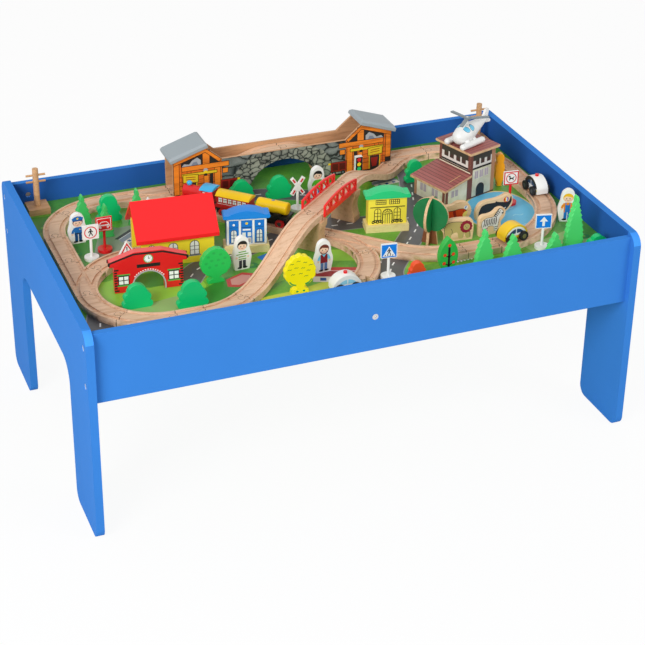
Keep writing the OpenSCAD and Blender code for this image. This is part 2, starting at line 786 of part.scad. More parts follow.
castle_p = [right_x - 107, back_y - 161];
castle_a = 18;

// A board box without floor, of outer size w by d, over the corner (0, 0)
module board_box(w, d) difference() {
  children();
  translate([ply_t, ply_t, -1]) cube([w - 2 * ply_t, d - 2 * ply_t, tower_h * 2]);
}

module castle_walls() color([0.80, 0.80, 0.66]) lay(castle_p, castle_a) {
  translate([-tower_w / 2, -tower_d / 2, 0]) board_box(tower_w, tower_d) cube([tower_w, tower_d, tower_h]);
  translate([-tower_w / 2 - hall_w - fit_gap, -tower_d / 2, 0]) board_box(hall_w, tower_d)
    rotate([90, 0, 0]) translate([0, 0, -tower_d]) linear_extrude(tower_d)
      polygon([[0, 0], [hall_w, 0], [hall_w, hall_high], [0, hall_low]]);
}

module castle_roofs() color([0.56, 0.32, 0.30]) lay(castle_p, castle_a) {
  translate([-tower_w / 2 - castle_eave, -tower_d / 2 - castle_eave, tower_h])
    cube([tower_w + 2 * castle_eave, tower_d + 2 * castle_eave, ply_t]);
  fall = (hall_high - hall_low) / hall_w;
  translate([-tower_w / 2 - fit_gap, tower_d / 2 + castle_eave, 0]) rotate([90, 0, 0])
    linear_extrude(tower_d + 2 * castle_eave)
      polygon([[0, hall_high], [0, hall_high + ply_t],
               [-hall_w - castle_eave, hall_low - fall * castle_eave + ply_t],
               [-hall_w - castle_eave, hall_low - fall * castle_eave]]);
}

blue_p = [left_x + 311, front_y + 208];
blue_a = -13;
yellow_p = [left_x + 577, back_y - 267];
yellow_a = -12;

module block_house_bases() color([0.93, 0.84, 0.58])
  for (h = [[blue_p, blue_a], [yellow_p, yellow_a]]) lay(h[0], h[1])
    translate([-base_l / 2, -base_d / 2, 0]) cube([base_l, base_d, base_t]);

module house_block() translate([-block_w / 2, -block_t / 2, base_t]) cube([block_w, block_t, block_h]);

module house_blocks() {
  color([0.12, 0.48, 0.84]) lay(blue_p, blue_a) house_block();
  color([0.96, 0.88, 0.24]) lay(yellow_p, yellow_a) house_block();
}

// A moulded roof with rounded shoulders and a low curved crown
module house_roof() {
  half = house_roof_l / 2;
  crown_w = house_roof_l * 0.76;
  rise = block_roof_h - house_eave;
  crown_r = (pow(crown_w / 2, 2) + pow(rise, 2)) / (2 * rise);
  translate([0, house_roof_d / 2, base_t + block_h]) rotate([90, 0, 0])
    linear_extrude(house_roof_d) {
      translate([-half + house_eave / 2, 0]) square([2 * half - house_eave, house_eave]);
      for (s = [-1, 1]) translate([s * (half - house_eave / 2), house_eave / 2]) circle(d = house_eave);
      intersection() {
        translate([0, block_roof_h - crown_r]) circle(crown_r, $fn = 96);
        translate([-half, 1]) square([2 * half, block_roof_h]);
      }
    }
}

module blue_house_roof() color([0.16, 0.54, 0.88]) lay(blue_p, blue_a) house_roof();

module green_house_roof() color([0.25, 0.78, 0.50]) lay(yellow_p, yellow_a) house_roof();

module telegraph_pole() {
  foot = 40;
  post = 11;
  arm = 36;
  translate([-foot / 2, -foot / 2, 0]) cube([foot, foot, 12]);
  translate([0, 0, 12]) cylinder(d = post, h = pole_h - 12);
  for (i = [1, 2]) translate([0, 0, pole_h - 13 * i]) rotate([0, 90, 0])
    cylinder(d = 4, h = arm, center = true);
}

module telegraph_poles() color([0.78, 0.60, 0.43]) {
  lay([left_x - 1, rail_in - 34]) telegraph_pole();
  lay([right_x + 6, rail_in - 34]) telegraph_pole();
}

// Trees: flat outlines that stand on y = 0
module cut_out(t) rotate([90, 0, 0]) linear_extrude(t, center = true) children();

// A slender crown with a saw-toothed edge and a round tip
module conifer_outline(w, h) {
  teeth = 9;
  notch = 1.3;
  tip = 3;
  side = [for (k = [0:2 * teeth - 1]) let (t = (floor(k / 2) + (k % 2) * 0.75) / teeth)
    [max(tip - 0.6, w / 2 * (1 - pow(t, 2.1)) - (k % 2) * notch), t * (h - tip)]];
  polygon(concat(side, [for (k = [2 * teeth - 1:-1:0]) [-side[k][0], side[k][1]]]));
  translate([0, h - tip]) circle(tip);
}

// Conifers: [place, width, height]
conifer_spots = [[[left_x + 62, back_y - 68], 34, 62], [[left_x + 90, back_y - 124], 31, 64],
                 [[left_x + 158, back_y - 93], 33, 70], [[right_x - 210, front_y + 16], 36, 64],
                 [[right_x - 155, front_y + 13], 35, 46], [[right_x - 76, front_y + 5], 34, 40],
                 [[right_x - 31, front_y + 19], 38, 100]];

module conifers() color([0.28, 0.78, 0.38])
  for (c = conifer_spots) lay(c[0]) cut_out(tree_t) conifer_outline(c[1], c[2]);

// A dome that steps out twice to a wide, flat foot
module bush_outline(w, h) {
  dome = min(w * 0.33, h / 2);
  knob = w * 0.15;
  foot = w * 0.13;
  translate([0, h - dome]) circle(dome);
  for (s = [-1, 1]) {
    translate([s * w * 0.3, h * 0.46]) circle(knob);
    translate([s * (w / 2 - foot), foot]) circle(foot);
  }
  translate([-w / 2 + foot, 0]) square([w - 2 * foot, h * 0.5]);
}

// Bushes: [place, width, height]
bush_spots = [[[left_x + 112, back_y - 64], 48, 52], [[left_x + 72, front_y + 73], 52, 44],
              [[left_x + 159, front_y + 45], 54, 48], [[left_x + 371, back_y - 56], 48, 36],
              [[left_x + 438, back_y - 80], 51, 45], [[right_x + 6, front_y - 3], 42, 26],
              [[right_x - 188, back_y - 100], 40, 44]];

module bushes() color([0.08, 0.62, 0.32])
  for (b = bush_spots) lay(b[0]) cut_out(tree_t) bush_outline(b[1], b[2]);

// A leaf crown on a flared trunk: a ring of lobes round a disc
module leaf_outline(w, h) {
  r = w / 2 - 4;
  translate([0, h - r - 4]) {
    circle(r);
    for (i = [0:11]) rotate(i * 30) translate([r - 2, 0]) circle(6);
  }
  translate([-5, 4]) square([10, h - 2 * r]);
  translate([-w * 0.28, 0]) square([w * 0.56, 5]);
  translate([-w * 0.18, 3]) square([w * 0.36, 5]);
}

// A pointed leaf between two arcs, cut flat where it stands
module pointed_leaf(w, h) {
  half_h = h * 0.56;
  off = (pow(half_h, 2) - pow(w / 2, 2)) / w;
  intersection() {
    lens(off, h - half_h, off + w / 2);
    translate([-w, 0]) square([2 * w, 2 * h]);
  }
}

// What two circles of radius r share, set off to both sides at height y
module lens(off, y, r) intersection() {
  translate([-off, y]) circle(r, $fn = 96);
  translate([off, y]) circle(r, $fn = 96);
}

module leaf_trees() {
  color([0.30, 0.70, 0.30]) lay([left_x + 222, front_y + 112]) cut_out(tree_t) leaf_outline(54, 66);
  color([0.98, 0.86, 0.08]) lay([left_x + 344, front_y + 28]) cut_out(tree_t) leaf_outline(56, 72);
  color([0.95, 0.62, 0.12]) lay([right_x - 42, back_y - 172], 60) cut_out(tree_t) {
    for (i = [0:2]) translate([0, 22 + i * 18]) circle(12 - i * 1.5);
    translate([-5, 0]) square([10, 24]);
    translate([-8, 10]) square([16, 44]);
  }
  color([0.95, 0.35, 0.15]) lay([left_x + 556, front_y + 13]) cut_out(tree_t) bush_outline(33, 27);
  color([0.20, 0.66, 0.28]) lay([left_x + 614, front_y + 14]) cut_out(tree_t)
    pointed_leaf(35, 64);
}

// Two boards that slot together crosswise, a crown on a trunk
module slot_tree() {
  crown_r = 33;
  crown_z = 57;
  trunk = 9;
  splay = 15;
  slot = ply_t + 2 * fit_gap;
  color([0.02, 0.46, 0.26]) lay([left_x + 628, back_y - 348], 30) for (i = [0, 1])
    rotate(i * 90) cut_out(ply_t) difference() {
      union() {
        translate([0, crown_z]) circle(crown_r);
        polygon([[-splay, 0], [splay, 0], [trunk, crown_z - crown_r / 2], [-trunk, crown_z - crown_r / 2]]);
      }
      translate([-slot / 2, i == 0 ? crown_z - fit_gap : -1])
        square([slot, i == 0 ? crown_r + 1 : crown_z + 1]);
    }
}

// Signs: [place, outline, angle]; outlines 0 plate, 1 triangle, 2 crossed bars, 3 lamp box
sign_spots = [[[left_x + 44, back_y - 201], 0, 0], [[left_x + 74, back_y - 178], 0, 0],
              [[left_x + 88, front_y + 189], 1, 0], [[left_x + 171, back_y - 124], 1, 0],
              [[left_x + 452, back_y - 142], 2, 0], [[left_x + 606, back_y - 64], 3, 0],
              [[left_x + 505, front_y + 21], 0, -8], [[right_x - 60, back_y - 253], 0, -6],
              [[right_x - 88, front_y + 30], 0, -14]];

function post_top(kind) = kind == 3 ? signal_post_h : post_h;

module sign_stands() color([0.92, 0.92, 0.92])
  for (s = sign_spots) lay(s[0], s[2]) {
    cylinder(d = s[1] == 3 ? foot_d - 8 : foot_d, h = foot_t);
    translate([0, 0, foot_t]) cylinder(d = post_d, h = post_top(s[1]) - foot_t);
  }

module sign_outline(kind) {
  half = plate_w / 2;
  if (kind == 0) translate([-half, 0]) square([plate_w, plate_h]);
  if (kind == 1) polygon([[-half, 0], [half, 0], [0, half * sqrt(3)]]);
  if (kind == 2) let (mid = cross_w / 2 / cos(cross_a) + post_d / 2 * tan(cross_a)) {
    for (a = [cross_a, -cross_a]) translate([0, mid]) rotate(a) square([cross_l, cross_w], center = true);
    translate([-post_d / 2, 0]) square([post_d, mid]);
  }
  if (kind == 3) translate([-lamp_box_w / 2, 0]) square([lamp_box_w, lamp_box_h]);
}

module sign_plates() color([0.95, 0.95, 0.95])
  for (s = sign_spots) lay(s[0], s[2]) translate([0, 0, post_top(s[1])])
    cut_out(s[1] == 3 ? lamp_box_t : plate_t) sign_outline(s[1]);

// A rimmed cut-out of a standing person: head, arms, body and joined feet
module figure_outline(h) {
  head = 13;
  body = 30;
  sole = 28;
  shoe = 6;
  arm = 9;
  translate([0, h - head]) circle(head);
  translate([-body / 2, shoe]) square([body, h - 2 * head]);
  for (s = [-1, 1]) {
    translate([s * arm, h * 0.42]) circle(arm);
    translate([s * (sole / 2 - shoe), shoe]) circle(shoe);
  }
  translate([-sole / 2, 0]) square([sole, shoe + 2]);
}

// Figures: [place, height, angle]
figure_spots = [[[left_x + 37, back_y - 131], 60, 4], [[left_x + 279, front_y + 140], 65, 4],
                [[left_x + 408, front_y + 82], 63, 4], [[left_x + 507, back_y - 99], 63, 4],
                [[right_x + 6, back_y - 354], 66, -20]];

module play_figures() color([0.95, 0.95, 0.93])
  for (f = figure_spots) lay(f[0], f[2]) cut_out(figure_t) figure_outline(f[1]);

// A rimmed cut-out of an animal that faces +X: round rump, sloping back, round head, flat foot
module animal_outline(l, h, rump, head) {
  corner = 4;
  hind = rump / 2;
  translate([-l / 2 + hind, rump - hind]) circle(hind);
  translate([l / 2 - head, h - head]) circle(head);
  for (s = [-1, 1]) translate([s * (l / 2 - corner - 1), corner]) circle(corner);
  half = l / 2 - 1;
  polygon([[corner - half, 0], [half - corner, 0], [half, corner], [half - 0.4 * head, h - 1.6 * head],
           [half - 1.5 * head, h - 0.3 * head], [hind - half, rump], [-half, hind], [-half, corner]]);
}

// Animals: [place, length, height, angle, height of the rump, radius of the head]
animal_spots = [[[right_x - 197, back_y - 294], 66, 50, -8, 33, 12],
                [[right_x - 113, back_y - 290], 80, 54, 8, 34, 13],
                [[right_x - 219, back_y - 354], 62, 42, -6, 36, 17],
                [[right_x - 149, back_y - 352], 55, 50, 6, 37, 11]];

module animal_boards() color([0.85, 0.68, 0.50])
  for (a = animal_spots) lay(a[0], a[3]) cut_out(animal_t) animal_outline(a[1], a[2], a[4], a[5]);

// Train, standing on the diagonal line with its engine towards the back-left switch
module on_line(u) translate([yard[0] - u * sin(45), yard[1] + u * sin(45), 0]) rotate(135) children();

// Keel between the wheels with the bores of both axles and a coupling disc at each end
module keel(l, ax) {
  difference() {
    translate([-l / 2, -keel_w / 2, axle_z - 4]) cube([l, keel_w, bed_z - axle_z + 4.1]);
    for (s = [-1, 1]) translate([s * ax, 0, axle_z]) rotate([90, 0, 0])
      cylinder(d = axle_d + 2 * axle_gap, h = keel_w + 2, center = true);
  }
  for (s = [-1, 1]) translate([s * (l / 2 + 1.4), 0, bed_z - disc_d / 2]) rotate([0, 90, 0])
    cylinder(d = disc_d, h = 3, center = true);
}

// Two wheels on one axle at the origin, along Y, their middles at y = mid and -mid;
// each has a turned ring in its outer face
module wheelset(d, mid) {
  rotate([90, 0, 0]) cylinder(d = axle_d, h = 2 * mid + wheel_w, center = true);
  for (s = [0, 1]) mirror([0, s, 0]) translate([0, mid, 0]) rotate([90, 0, 0]) difference() {
    cylinder(d = d, h = wheel_w, center = true);
    translate([0, 0, -wheel_w / 2 - 0.5]) rotate_extrude() translate([d * 0.3, 0]) circle(1.2);
  }
}

module train_wheels(u, x) color([0.80, 0.10, 0.12])
  on_line(u) translate([x, 0, axle_z]) wheelset(wheel_d, gauge / 2);

module boiler() translate([-engine_l / 2 + cab_l - 1, 0, bed_z + floor_t + boiler_r - 1]) rotate([0, 90, 0])
  cylinder(r = boiler_r, h = engine_l - cab_l - 3);

module engine_body() color([0.90, 0.14, 0.14]) on_line(engine_u) {
  keel(engine_l, axle_x - 4);
  translate([-engine_l / 2, -wagon_w / 2, bed_z]) cube([engine_l, wagon_w, floor_t]);
  boiler();
  translate([-engine_l / 2 + 1, -wagon_w / 2 + 1, bed_z + floor_t - 1]) cube([cab_l, wagon_w - 2, cab_h + 1]);
}

module engine_trim() color([0.35, 0.72, 0.92]) on_line(engine_u) {
  translate([-engine_l / 2 + 1 + cab_l / 2, 0, bed_z + floor_t + cab_h]) rotate([90, 0, 90])
    linear_extrude(cab_l + 6, center = true) intersection() {
      translate([0, -36]) circle(41, $fn = 96);
      translate([-wagon_w / 2 - 1, 0]) square([wagon_w + 2, 8]);
    }
  difference() {
    translate([engine_l / 2 - 14, 0, bed_z + floor_t + 2 * boiler_r + ball_d / 4]) sphere(d = ball_d);
    boiler();
  }
}

module engine_front_wheels() train_wheels(engine_u, axle_x - 4);

module engine_rear_wheels() train_wheels(engine_u, 4 - axle_x);

module coach_body() color([0.80, 0.12, 0.14]) on_line(coach_u) {
  keel(wagon_l, axle_x);
  translate([-wagon_l / 2, -wagon_w / 2, bed_z]) cube([wagon_l, wagon_w, floor_t]);
  translate([-wagon_l / 2 + 2, -wagon_w / 2 + 2, bed_z + floor_t - 1])
    cube([wagon_l - 4, wagon_w - 4, coach_h + 1]);
}

module coach_roof() color([0.98, 0.80, 0.05]) on_line(coach_u)
  translate([0, 0, bed_z + floor_t + coach_h]) rotate([90, 0, 90])
    linear_extrude(wagon_l, center = true) intersection() {
      translate([0, -14]) circle(21, $fn = 96);
      translate([-wagon_w / 2, 0]) square([wagon_w, 8]);
    }

module coach_front_wheels() train_wheels(coach_u, axle_x);

module coach_rear_wheels() train_wheels(coach_u, -axle_x);

module tank_wagon() color([0.12, 0.12, 0.13]) on_line(train_u) {
  keel(wagon_l, axle_x);
  difference() {
    translate([-wagon_l / 2, -wagon_w / 2, bed_z]) cube([wagon_l, wagon_w, floor_t + 5]);
    translate([-wagon_l / 2 - 1, -wagon_w / 2 - 1, bed_z + floor_t]) cube([14, wagon_w + 2, 8]);
    translate([-8, -wagon_w / 2 - 1, bed_z + floor_t]) cube([16, wagon_w + 2, 8]);
    translate([wagon_l / 2 - 13, -wagon_w / 2 - 1, bed_z + floor_t]) cube([14, wagon_w + 2, 8]);
    translate([0, 0, bed_z + floor_t + tank_r]) rotate([0, 90, 0])
      cylinder(r = tank_r + fit_gap, h = wagon_l, center = true);
  }
}

module tank_barrel() color([0.98, 0.80, 0.05]) on_line(train_u)
  translate([0, 0, bed_z + floor_t + tank_r]) rotate([0, 90, 0]) {
    round = 4;
    long = wagon_l - 6;
    rotate_extrude() {
      translate([0, -long / 2]) square([tank_r - round, long]);
      translate([0, -long / 2 + round]) square([tank_r, long - 2 * round]);
      for (s = [-1, 1]) intersection() {
        translate([tank_r - round, s * (long / 2 - round)]) circle(round);
        translate([0, -long]) square([tank_r + 1, 2 * long]);
      }
    }
  }

module tank_front_wheels() train_wheels(train_u, axle_x);

module tank_rear_wheels() train_wheels(train_u, -axle_x);

// Cars: place, heading and the height of what they stand on
patrol_p = [right_x, wide_c];
patrol_a = -90;
saloon_t = -79;
saloon_p = [right_x - wide_r + wide_r * cos(saloon_t), wide_c + wide_r * sin(saloon_t)];
saloon_a = saloon_t + 90;
rescue_p = [left_x + 420, front_y + 9];
rescue_a = 0;

module park(p, a, z) translate([p[0], p[1], z + wheel_gap]) rotate(a) children();

module car_body(beacon) {
  low = 5;
  r = car_l / 2 + 2;
  difference() {
    rotate([90, 0, 0]) linear_extrude(car_w, center = true) intersection() {
      translate([0, car_h - r]) circle(r, $fn = 96);
      translate([-car_l / 2, low]) square([car_l, car_h]);
    }
    for (s = [-1, 1]) translate([s * car_base / 2, 0, car_wheel_d / 2]) rotate([90, 0, 0])
      cylinder(d = axle_d + 2 * axle_gap, h = car_w + 2, center = true);
  }
  if (beacon) translate([0, 0, car_h - 0.5]) cylinder(d = 7, h = 4);
}

// One axle of a car: end 1 at the front, -1 at the rear
module car_wheels(end) translate([end * car_base / 2, 0, car_wheel_d / 2])
  wheelset(car_wheel_d, car_w / 2 + side_gap + wheel_w / 2);

module black() color([0.1, 0.1, 0.1]) children();

module patrol_car() color([0.95, 0.95, 0.95]) park(patrol_p, patrol_a, top_z) car_body(true);

module patrol_front_wheels() black() park(patrol_p, patrol_a, top_z) car_wheels(1);

module patrol_rear_wheels() black() park(patrol_p, patrol_a, top_z) car_wheels(-1);

module yellow_car() color([0.96, 0.80, 0.10]) park(saloon_p, saloon_a, top_z) car_body(false);

module yellow_car_front_wheels() black() park(saloon_p, saloon_a, top_z) car_wheels(1);

module yellow_car_rear_wheels() black() park(saloon_p, saloon_a, top_z) car_wheels(-1);

module rescue_car() color([0.95, 0.95, 0.95]) park(rescue_p, rescue_a, board_z) car_body(true);

module rescue_front_wheels() black() park(rescue_p, rescue_a, board_z) car_wheels(1);

module rescue_rear_wheels() black() park(rescue_p, rescue_a, board_z) car_wheels(-1);

// Helicopter on the tower's roof, nose towards +X of its own frame
heli_p = castle_p + [-11, -8];
heli_a = 203;
cabin_z = cabin_d / 2 + 2;
fin_t = 5;
fin_h = 20;
mast_x = -4;
hub_h = 5;
hub_rise = 8;

module hover() translate([heli_p[0], heli_p[1], roof_z + wheel_gap]) rotate(heli_a) children();

// Half of the body's outline beside the axis: ball a at y = 0, ball b at y = l, and the cone between
module taper(a, b, l) {
  k = (a - b) / abs(l);
  c = sqrt(1 - k * k);
  d = sign(l) * k;
  translate([0, l]) circle(b);
  polygon([[0, a * d], [a * c, a * d], [b * c, l + b * d], [0, l + b * d]]);
}

// Cabin, nose and tail boom, turned in one piece
module turned_body(boom) rotate([0, 90, 0]) rotate_extrude() intersection() {
  union() {
    circle(cabin_d / 2);
    taper(cabin_d / 2, nose_d / 2, nose_x);
    taper(cabin_d / 2, boom, -tail_l);
  }
  translate([0, -2 * tail_l]) square([cabin_d, 4 * tail_l]);
}

module helicopter() color([0.95, 0.95, 0.95]) hover() {
  boom = float_d / 2 - 1;
  translate([0, 0, cabin_z]) {
    rotate([0, tail_a, 0]) turned_body(boom);
    translate([-tail_l * cos(tail_a), 0, tail_l * sin(tail_a)]) rotate([90, 0, 0])
      linear_extrude(fin_t, center = true)
        polygon([[8, 0], [-3, fin_h], [-11, fin_h], [-8, 2], [-17, -4], [-16, -8], [6, -boom]]);
    translate([mast_x, 0, 0]) cylinder(d = mast_d, h = cabin_d / 2 + hub_rise + hub_h);
  }
  for (s = [-1, 1]) translate([0, s * float_gap / 2, float_d / 2]) {
    long = float_l - float_d;
    translate([-long / 2, 0, 0]) rotate([0, 90, 0]) cylinder(d = float_d, h = long);
    for (e = [-1, 1]) translate([e * long / 2, 0, 0]) sphere(d = float_d);
    for (x = [-9, 9]) translate([x, 0, 0]) rotate([s * 52, 0, 0])
      cylinder(d = float_d - 2, h = float_gap / 2 - 4);
  }
}

module helicopter_rotor() color([0.45, 0.48, 0.50]) hover()
  translate([mast_x, 0, cabin_z + cabin_d / 2 + hub_rise]) difference() {
    union() {
      cylinder(d = 12, h = hub_h);
      for (a = [26, 146, 266]) rotate(a) translate([0, -3.5, 1]) cube([blade_l, 7, 2.5]);
    }
    translate([0, 0, -1]) cylinder(d = mast_d + 2 * axle_gap, h = hub_h + 2);
  }

left_end_panel();
right_end_panel();
front_rail();
back_rail();
play_board();
cross_bar();
connector_bolts();
barrel_nuts();
locating_dowels();
curve_tracks();
straight_tracks();
switch_tracks();
ramp_tracks();
bridge_deck();
bridge_guards();
bridge_piers();
shed_walls();
shed_roof();
station_arch();
mine_front_board();
mine_back_board();
mine_roofs();
castle_walls();
castle_roofs();
block_house_bases();
house_blocks();
blue_house_roof();
green_house_roof();
telegraph_poles();
conifers();
bushes();
leaf_trees();
slot_tree();
sign_stands();
sign_plates();
play_figures();
animal_boards();
engine_body();
engine_trim();
engine_front_wheels();
engine_rear_wheels();
coach_body();
coach_roof();
coach_front_wheels();
coach_rear_wheels();
tank_wagon();
tank_barrel();
tank_front_wheels();
tank_rear_wheels();
patrol_car();
patrol_front_wheels();
patrol_rear_wheels();
yellow_car();
yellow_car_front_wheels();
yellow_car_rear_wheels();
rescue_car();
rescue_front_wheels();
rescue_rear_wheels();
helicopter();
helicopter_rotor();
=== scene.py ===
"""Wooden train table: a blue tray table with a printed board, a wooden track layout and its toys."""
import math

import bpy
from mathutils import Matrix, Vector
from mathutils.bvhtree import BVHTree


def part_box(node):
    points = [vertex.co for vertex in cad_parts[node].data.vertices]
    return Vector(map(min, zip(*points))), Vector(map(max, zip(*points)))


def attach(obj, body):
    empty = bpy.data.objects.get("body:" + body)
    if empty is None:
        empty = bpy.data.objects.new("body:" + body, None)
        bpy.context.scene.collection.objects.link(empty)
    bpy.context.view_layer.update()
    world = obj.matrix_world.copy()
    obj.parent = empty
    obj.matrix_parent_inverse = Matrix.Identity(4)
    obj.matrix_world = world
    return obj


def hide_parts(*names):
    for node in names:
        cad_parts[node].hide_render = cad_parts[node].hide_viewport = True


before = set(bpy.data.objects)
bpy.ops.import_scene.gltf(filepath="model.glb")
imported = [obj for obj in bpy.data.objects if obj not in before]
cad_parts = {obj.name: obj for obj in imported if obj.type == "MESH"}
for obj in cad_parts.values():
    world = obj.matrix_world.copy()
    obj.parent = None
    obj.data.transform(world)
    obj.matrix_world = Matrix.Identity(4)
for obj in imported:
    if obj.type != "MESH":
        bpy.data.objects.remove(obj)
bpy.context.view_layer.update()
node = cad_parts


# Camera: the table is seen from its front left, from a little over three metres away and from a
# standing adult's eye height, through a long lens.
def placed(name, data):
    """A new object in the scene."""
    thing = bpy.data.objects.new(name, data)
    bpy.context.scene.collection.objects.link(thing)
    return thing


eye = Vector((-1.0101, -2.5800, 1.7546))
turn, dip, roll = (math.radians(a) for a in (21.793, -27.865, 0.765))
ahead = Vector((math.sin(turn) * math.cos(dip), math.cos(turn) * math.cos(dip), math.sin(dip)))
level = ahead.cross(Vector((0, 0, 1))).normalized()
upright = level.cross(ahead)
across = math.cos(roll) * level + math.sin(roll) * upright
upward = math.cos(roll) * upright - math.sin(roll) * level
sensor, focal_share = 36.0, 1709.8 / 645
lens = bpy.data.cameras.new("camera")
lens.sensor_width, lens.lens, lens.shift_y = sensor, focal_share * sensor, -0.1
camera = placed("camera", lens)
camera.matrix_world = Matrix.Translation(eye) @ Matrix((across, upward, -ahead)).transposed().to_4x4()
bpy.context.scene.camera = camera


# Studio: a plain white floor under soft light from all round, with one large soft box at the
# front left and a weaker one at the right, so that the paint keeps its own colour.
def operator(operation):
    """What an operator's sign does with a socket: it adds a Math node."""
    return lambda socket, other: socket.math(operation, socket, other)


class Val:
    """A socket of a finish, to reckon with."""

    def __init__(self, finish, socket):
        self.finish, self.socket = finish, socket

    def math(self, operation, a, b=0.0):
        return self.finish.node("ShaderNodeMath", {"operation": operation}, {0: a, 1: b})

    def __rsub__(self, other):
        return self.math("SUBTRACT", other, self)

    def __abs__(self):
        return self.math("ABSOLUTE", self)

    __add__ = __radd__ = operator("ADD")
    __sub__ = operator("SUBTRACT")
    __mul__ = __rmul__ = operator("MULTIPLY")
    __truediv__ = operator("DIVIDE")
    __mod__ = operator("FLOORED_MODULO")
    __gt__ = operator("GREATER_THAN")
    __lt__ = operator("LESS_THAN")


class Finish:
    """A material in the making: its shader and the nodes that feed it."""

    def __init__(self, name, tree=None, **fixed):
        if tree is None:
            self.material = bpy.data.materials.new(name)
            self.material.use_nodes = True
            tree = self.material.node_tree
            self.shader = tree.nodes["Principled BSDF"]
        self.tree = tree
        for key, value in fixed.items():
            self.feed(key.replace("_", " ").title(), value)

    def plug(self, socket, value):
        if isinstance(value, Val):
            self.tree.links.new(value.socket, socket)
        else:
            socket.default_value = value

    def feed(self, name, value):
        self.plug(self.shader.inputs[name], value)

    def node(self, kind, settings=None, sockets=None, out=0):
        made = self.tree.nodes.new(kind)
        for key, value in (settings or {}).items():
            if key == "stops":
                while len(made.color_ramp.elements) < len(value):
                    made.color_ramp.elements.new(0.5)
                for stop, (place, shade) in zip(made.color_ramp.elements, value):
                    stop.position, stop.color = place, shade
            else:
                setattr(made, key, value)
        for key, value in (sockets or {}).items():
            self.plug(made.inputs[key], value)
        return Val(self, made.outputs[out])

    def place(self, stretch=(1, 1, 1), turned=0.0):
        spot = self.node("ShaderNodeTexCoord", out="Object")
        return self.node("ShaderNodeMapping", {}, {
            "Vector": spot, "Rotation": (0, 0, math.radians(turned)), "Scale": stretch})

    def axes(self, vector):
        split = self.node("ShaderNodeSeparateXYZ", {}, {0: vector})
        return [Val(self, out) for out in split.socket.node.outputs]

    def noise(self, vector, scale, detail=3.0, rough=0.55):
        return self.node("ShaderNodeTexNoise", {}, {
            "Vector": vector, "Scale": scale, "Detail": detail, "Roughness": rough})

    def blend(self, a, b, share):
        return self.node("ShaderNodeMix", {"data_type": "RGBA"}, {0: share, 6: a, 7: b}, out=2)

    def ramp(self, value, *stops):
        """Colours along a value, each from its own place on."""
        return self.node("ShaderNodeValToRGB", {"stops": stops}, {0: value})

    def in_view(self):
        """One where the camera looks, straight or by a reflection, and nought where light only passes."""
        kinds = ("Camera", "Glossy", "Transmission")
        a, b, c = (self.node("ShaderNodeLightPath", out=f"Is {kind} Ray") for kind in kinds)
        return a + b + c

    def bump(self, height, depth, strength=0.5):
        self.feed("Normal", self.node("ShaderNodeBump", {}, {
            "Strength": strength, "Distance": depth, "Height": height}))


def rgb(red, green, blue, share=1.0):
    """A colour as it looks, 0 to 255, in the shader's linear terms, times a share."""
    def linear(c):
        c /= 255
        return c / 12.92 if c <= 0.04045 else ((c + 0.055) / 1.055) ** 2.4
    return tuple(min(1.0, linear(c) * share) for c in (red, green, blue)) + (1.0,)


def shaped(name, corners, faces, finishes):
    """A new piece from its corners in metres."""
    mesh = bpy.data.meshes.new(name)
    mesh.from_pydata(corners, [], faces)
    for finish in finishes:
        mesh.materials.append(finish)
    return placed(name, mesh)


bpy.context.scene.view_settings.view_transform = "Standard"
world = bpy.data.worlds.new("studio")
bpy.context.scene.world = world
world.use_nodes = True
sky = Finish("studio", world.node_tree)
backdrop, ambient = world.node_tree.nodes["Background"].inputs, 0.5
sky.plug(backdrop["Color"], (1, 1, 1, 1))
sky.plug(backdrop["Strength"], ambient + (1 - ambient) * sky.in_view())

floor_glow = 0.93
pale = Finish("pale_floor", base_color=rgb(244, 244, 244), roughness=0.9)
glow = pale.node("ShaderNodeEmission", {}, {"Color": (1, 1, 1, 1), "Strength": 1.0})
mixed = pale.node("ShaderNodeMixShader", {}, {
    0: floor_glow * pale.in_view(), 1: Val(pale, pale.shader.outputs[0]), 2: glow})
pale.plug(pale.tree.nodes["Material Output"].inputs["Surface"], mixed)
floor = shaped("floor", [(-9, -9, 0), (9, -9, 0), (9, 14, 0), (-9, 14, 0)], [(0, 1, 2, 3)], [pale.material])


def soft_box(name, spot, size, power, aim=(0, 0, 0.3)):
    """A round soft light, turned to the table."""
    lamp = bpy.data.lights.new(name, "AREA")
    lamp.shape, lamp.size, lamp.energy = "DISK", size, power
    holder = placed(name, lamp)
    holder.location = spot
    holder.rotation_euler = (Vector(aim) - Vector(spot)).to_track_quat("-Z", "Y").to_euler()


soft_box("key_box", (-2.9, -2.4, 2.2), 2.2, 118)
soft_box("fill_box", (2.2, -2.6, 2.4), 2.0, 34)


# Table frame: two end panels with their legs and two long rails, cut from fibreboard with
# rounded edges and sprayed blue in a satin lacquer, held at the corners by bolts in barrel nuts.
board_top, inside_x, inside_y = 345.0, 486.3, 285.8
cloud_scale, gloss_scale, peel_scale, peel_depth = 7.0, 40.0, 650.0, 0.0004


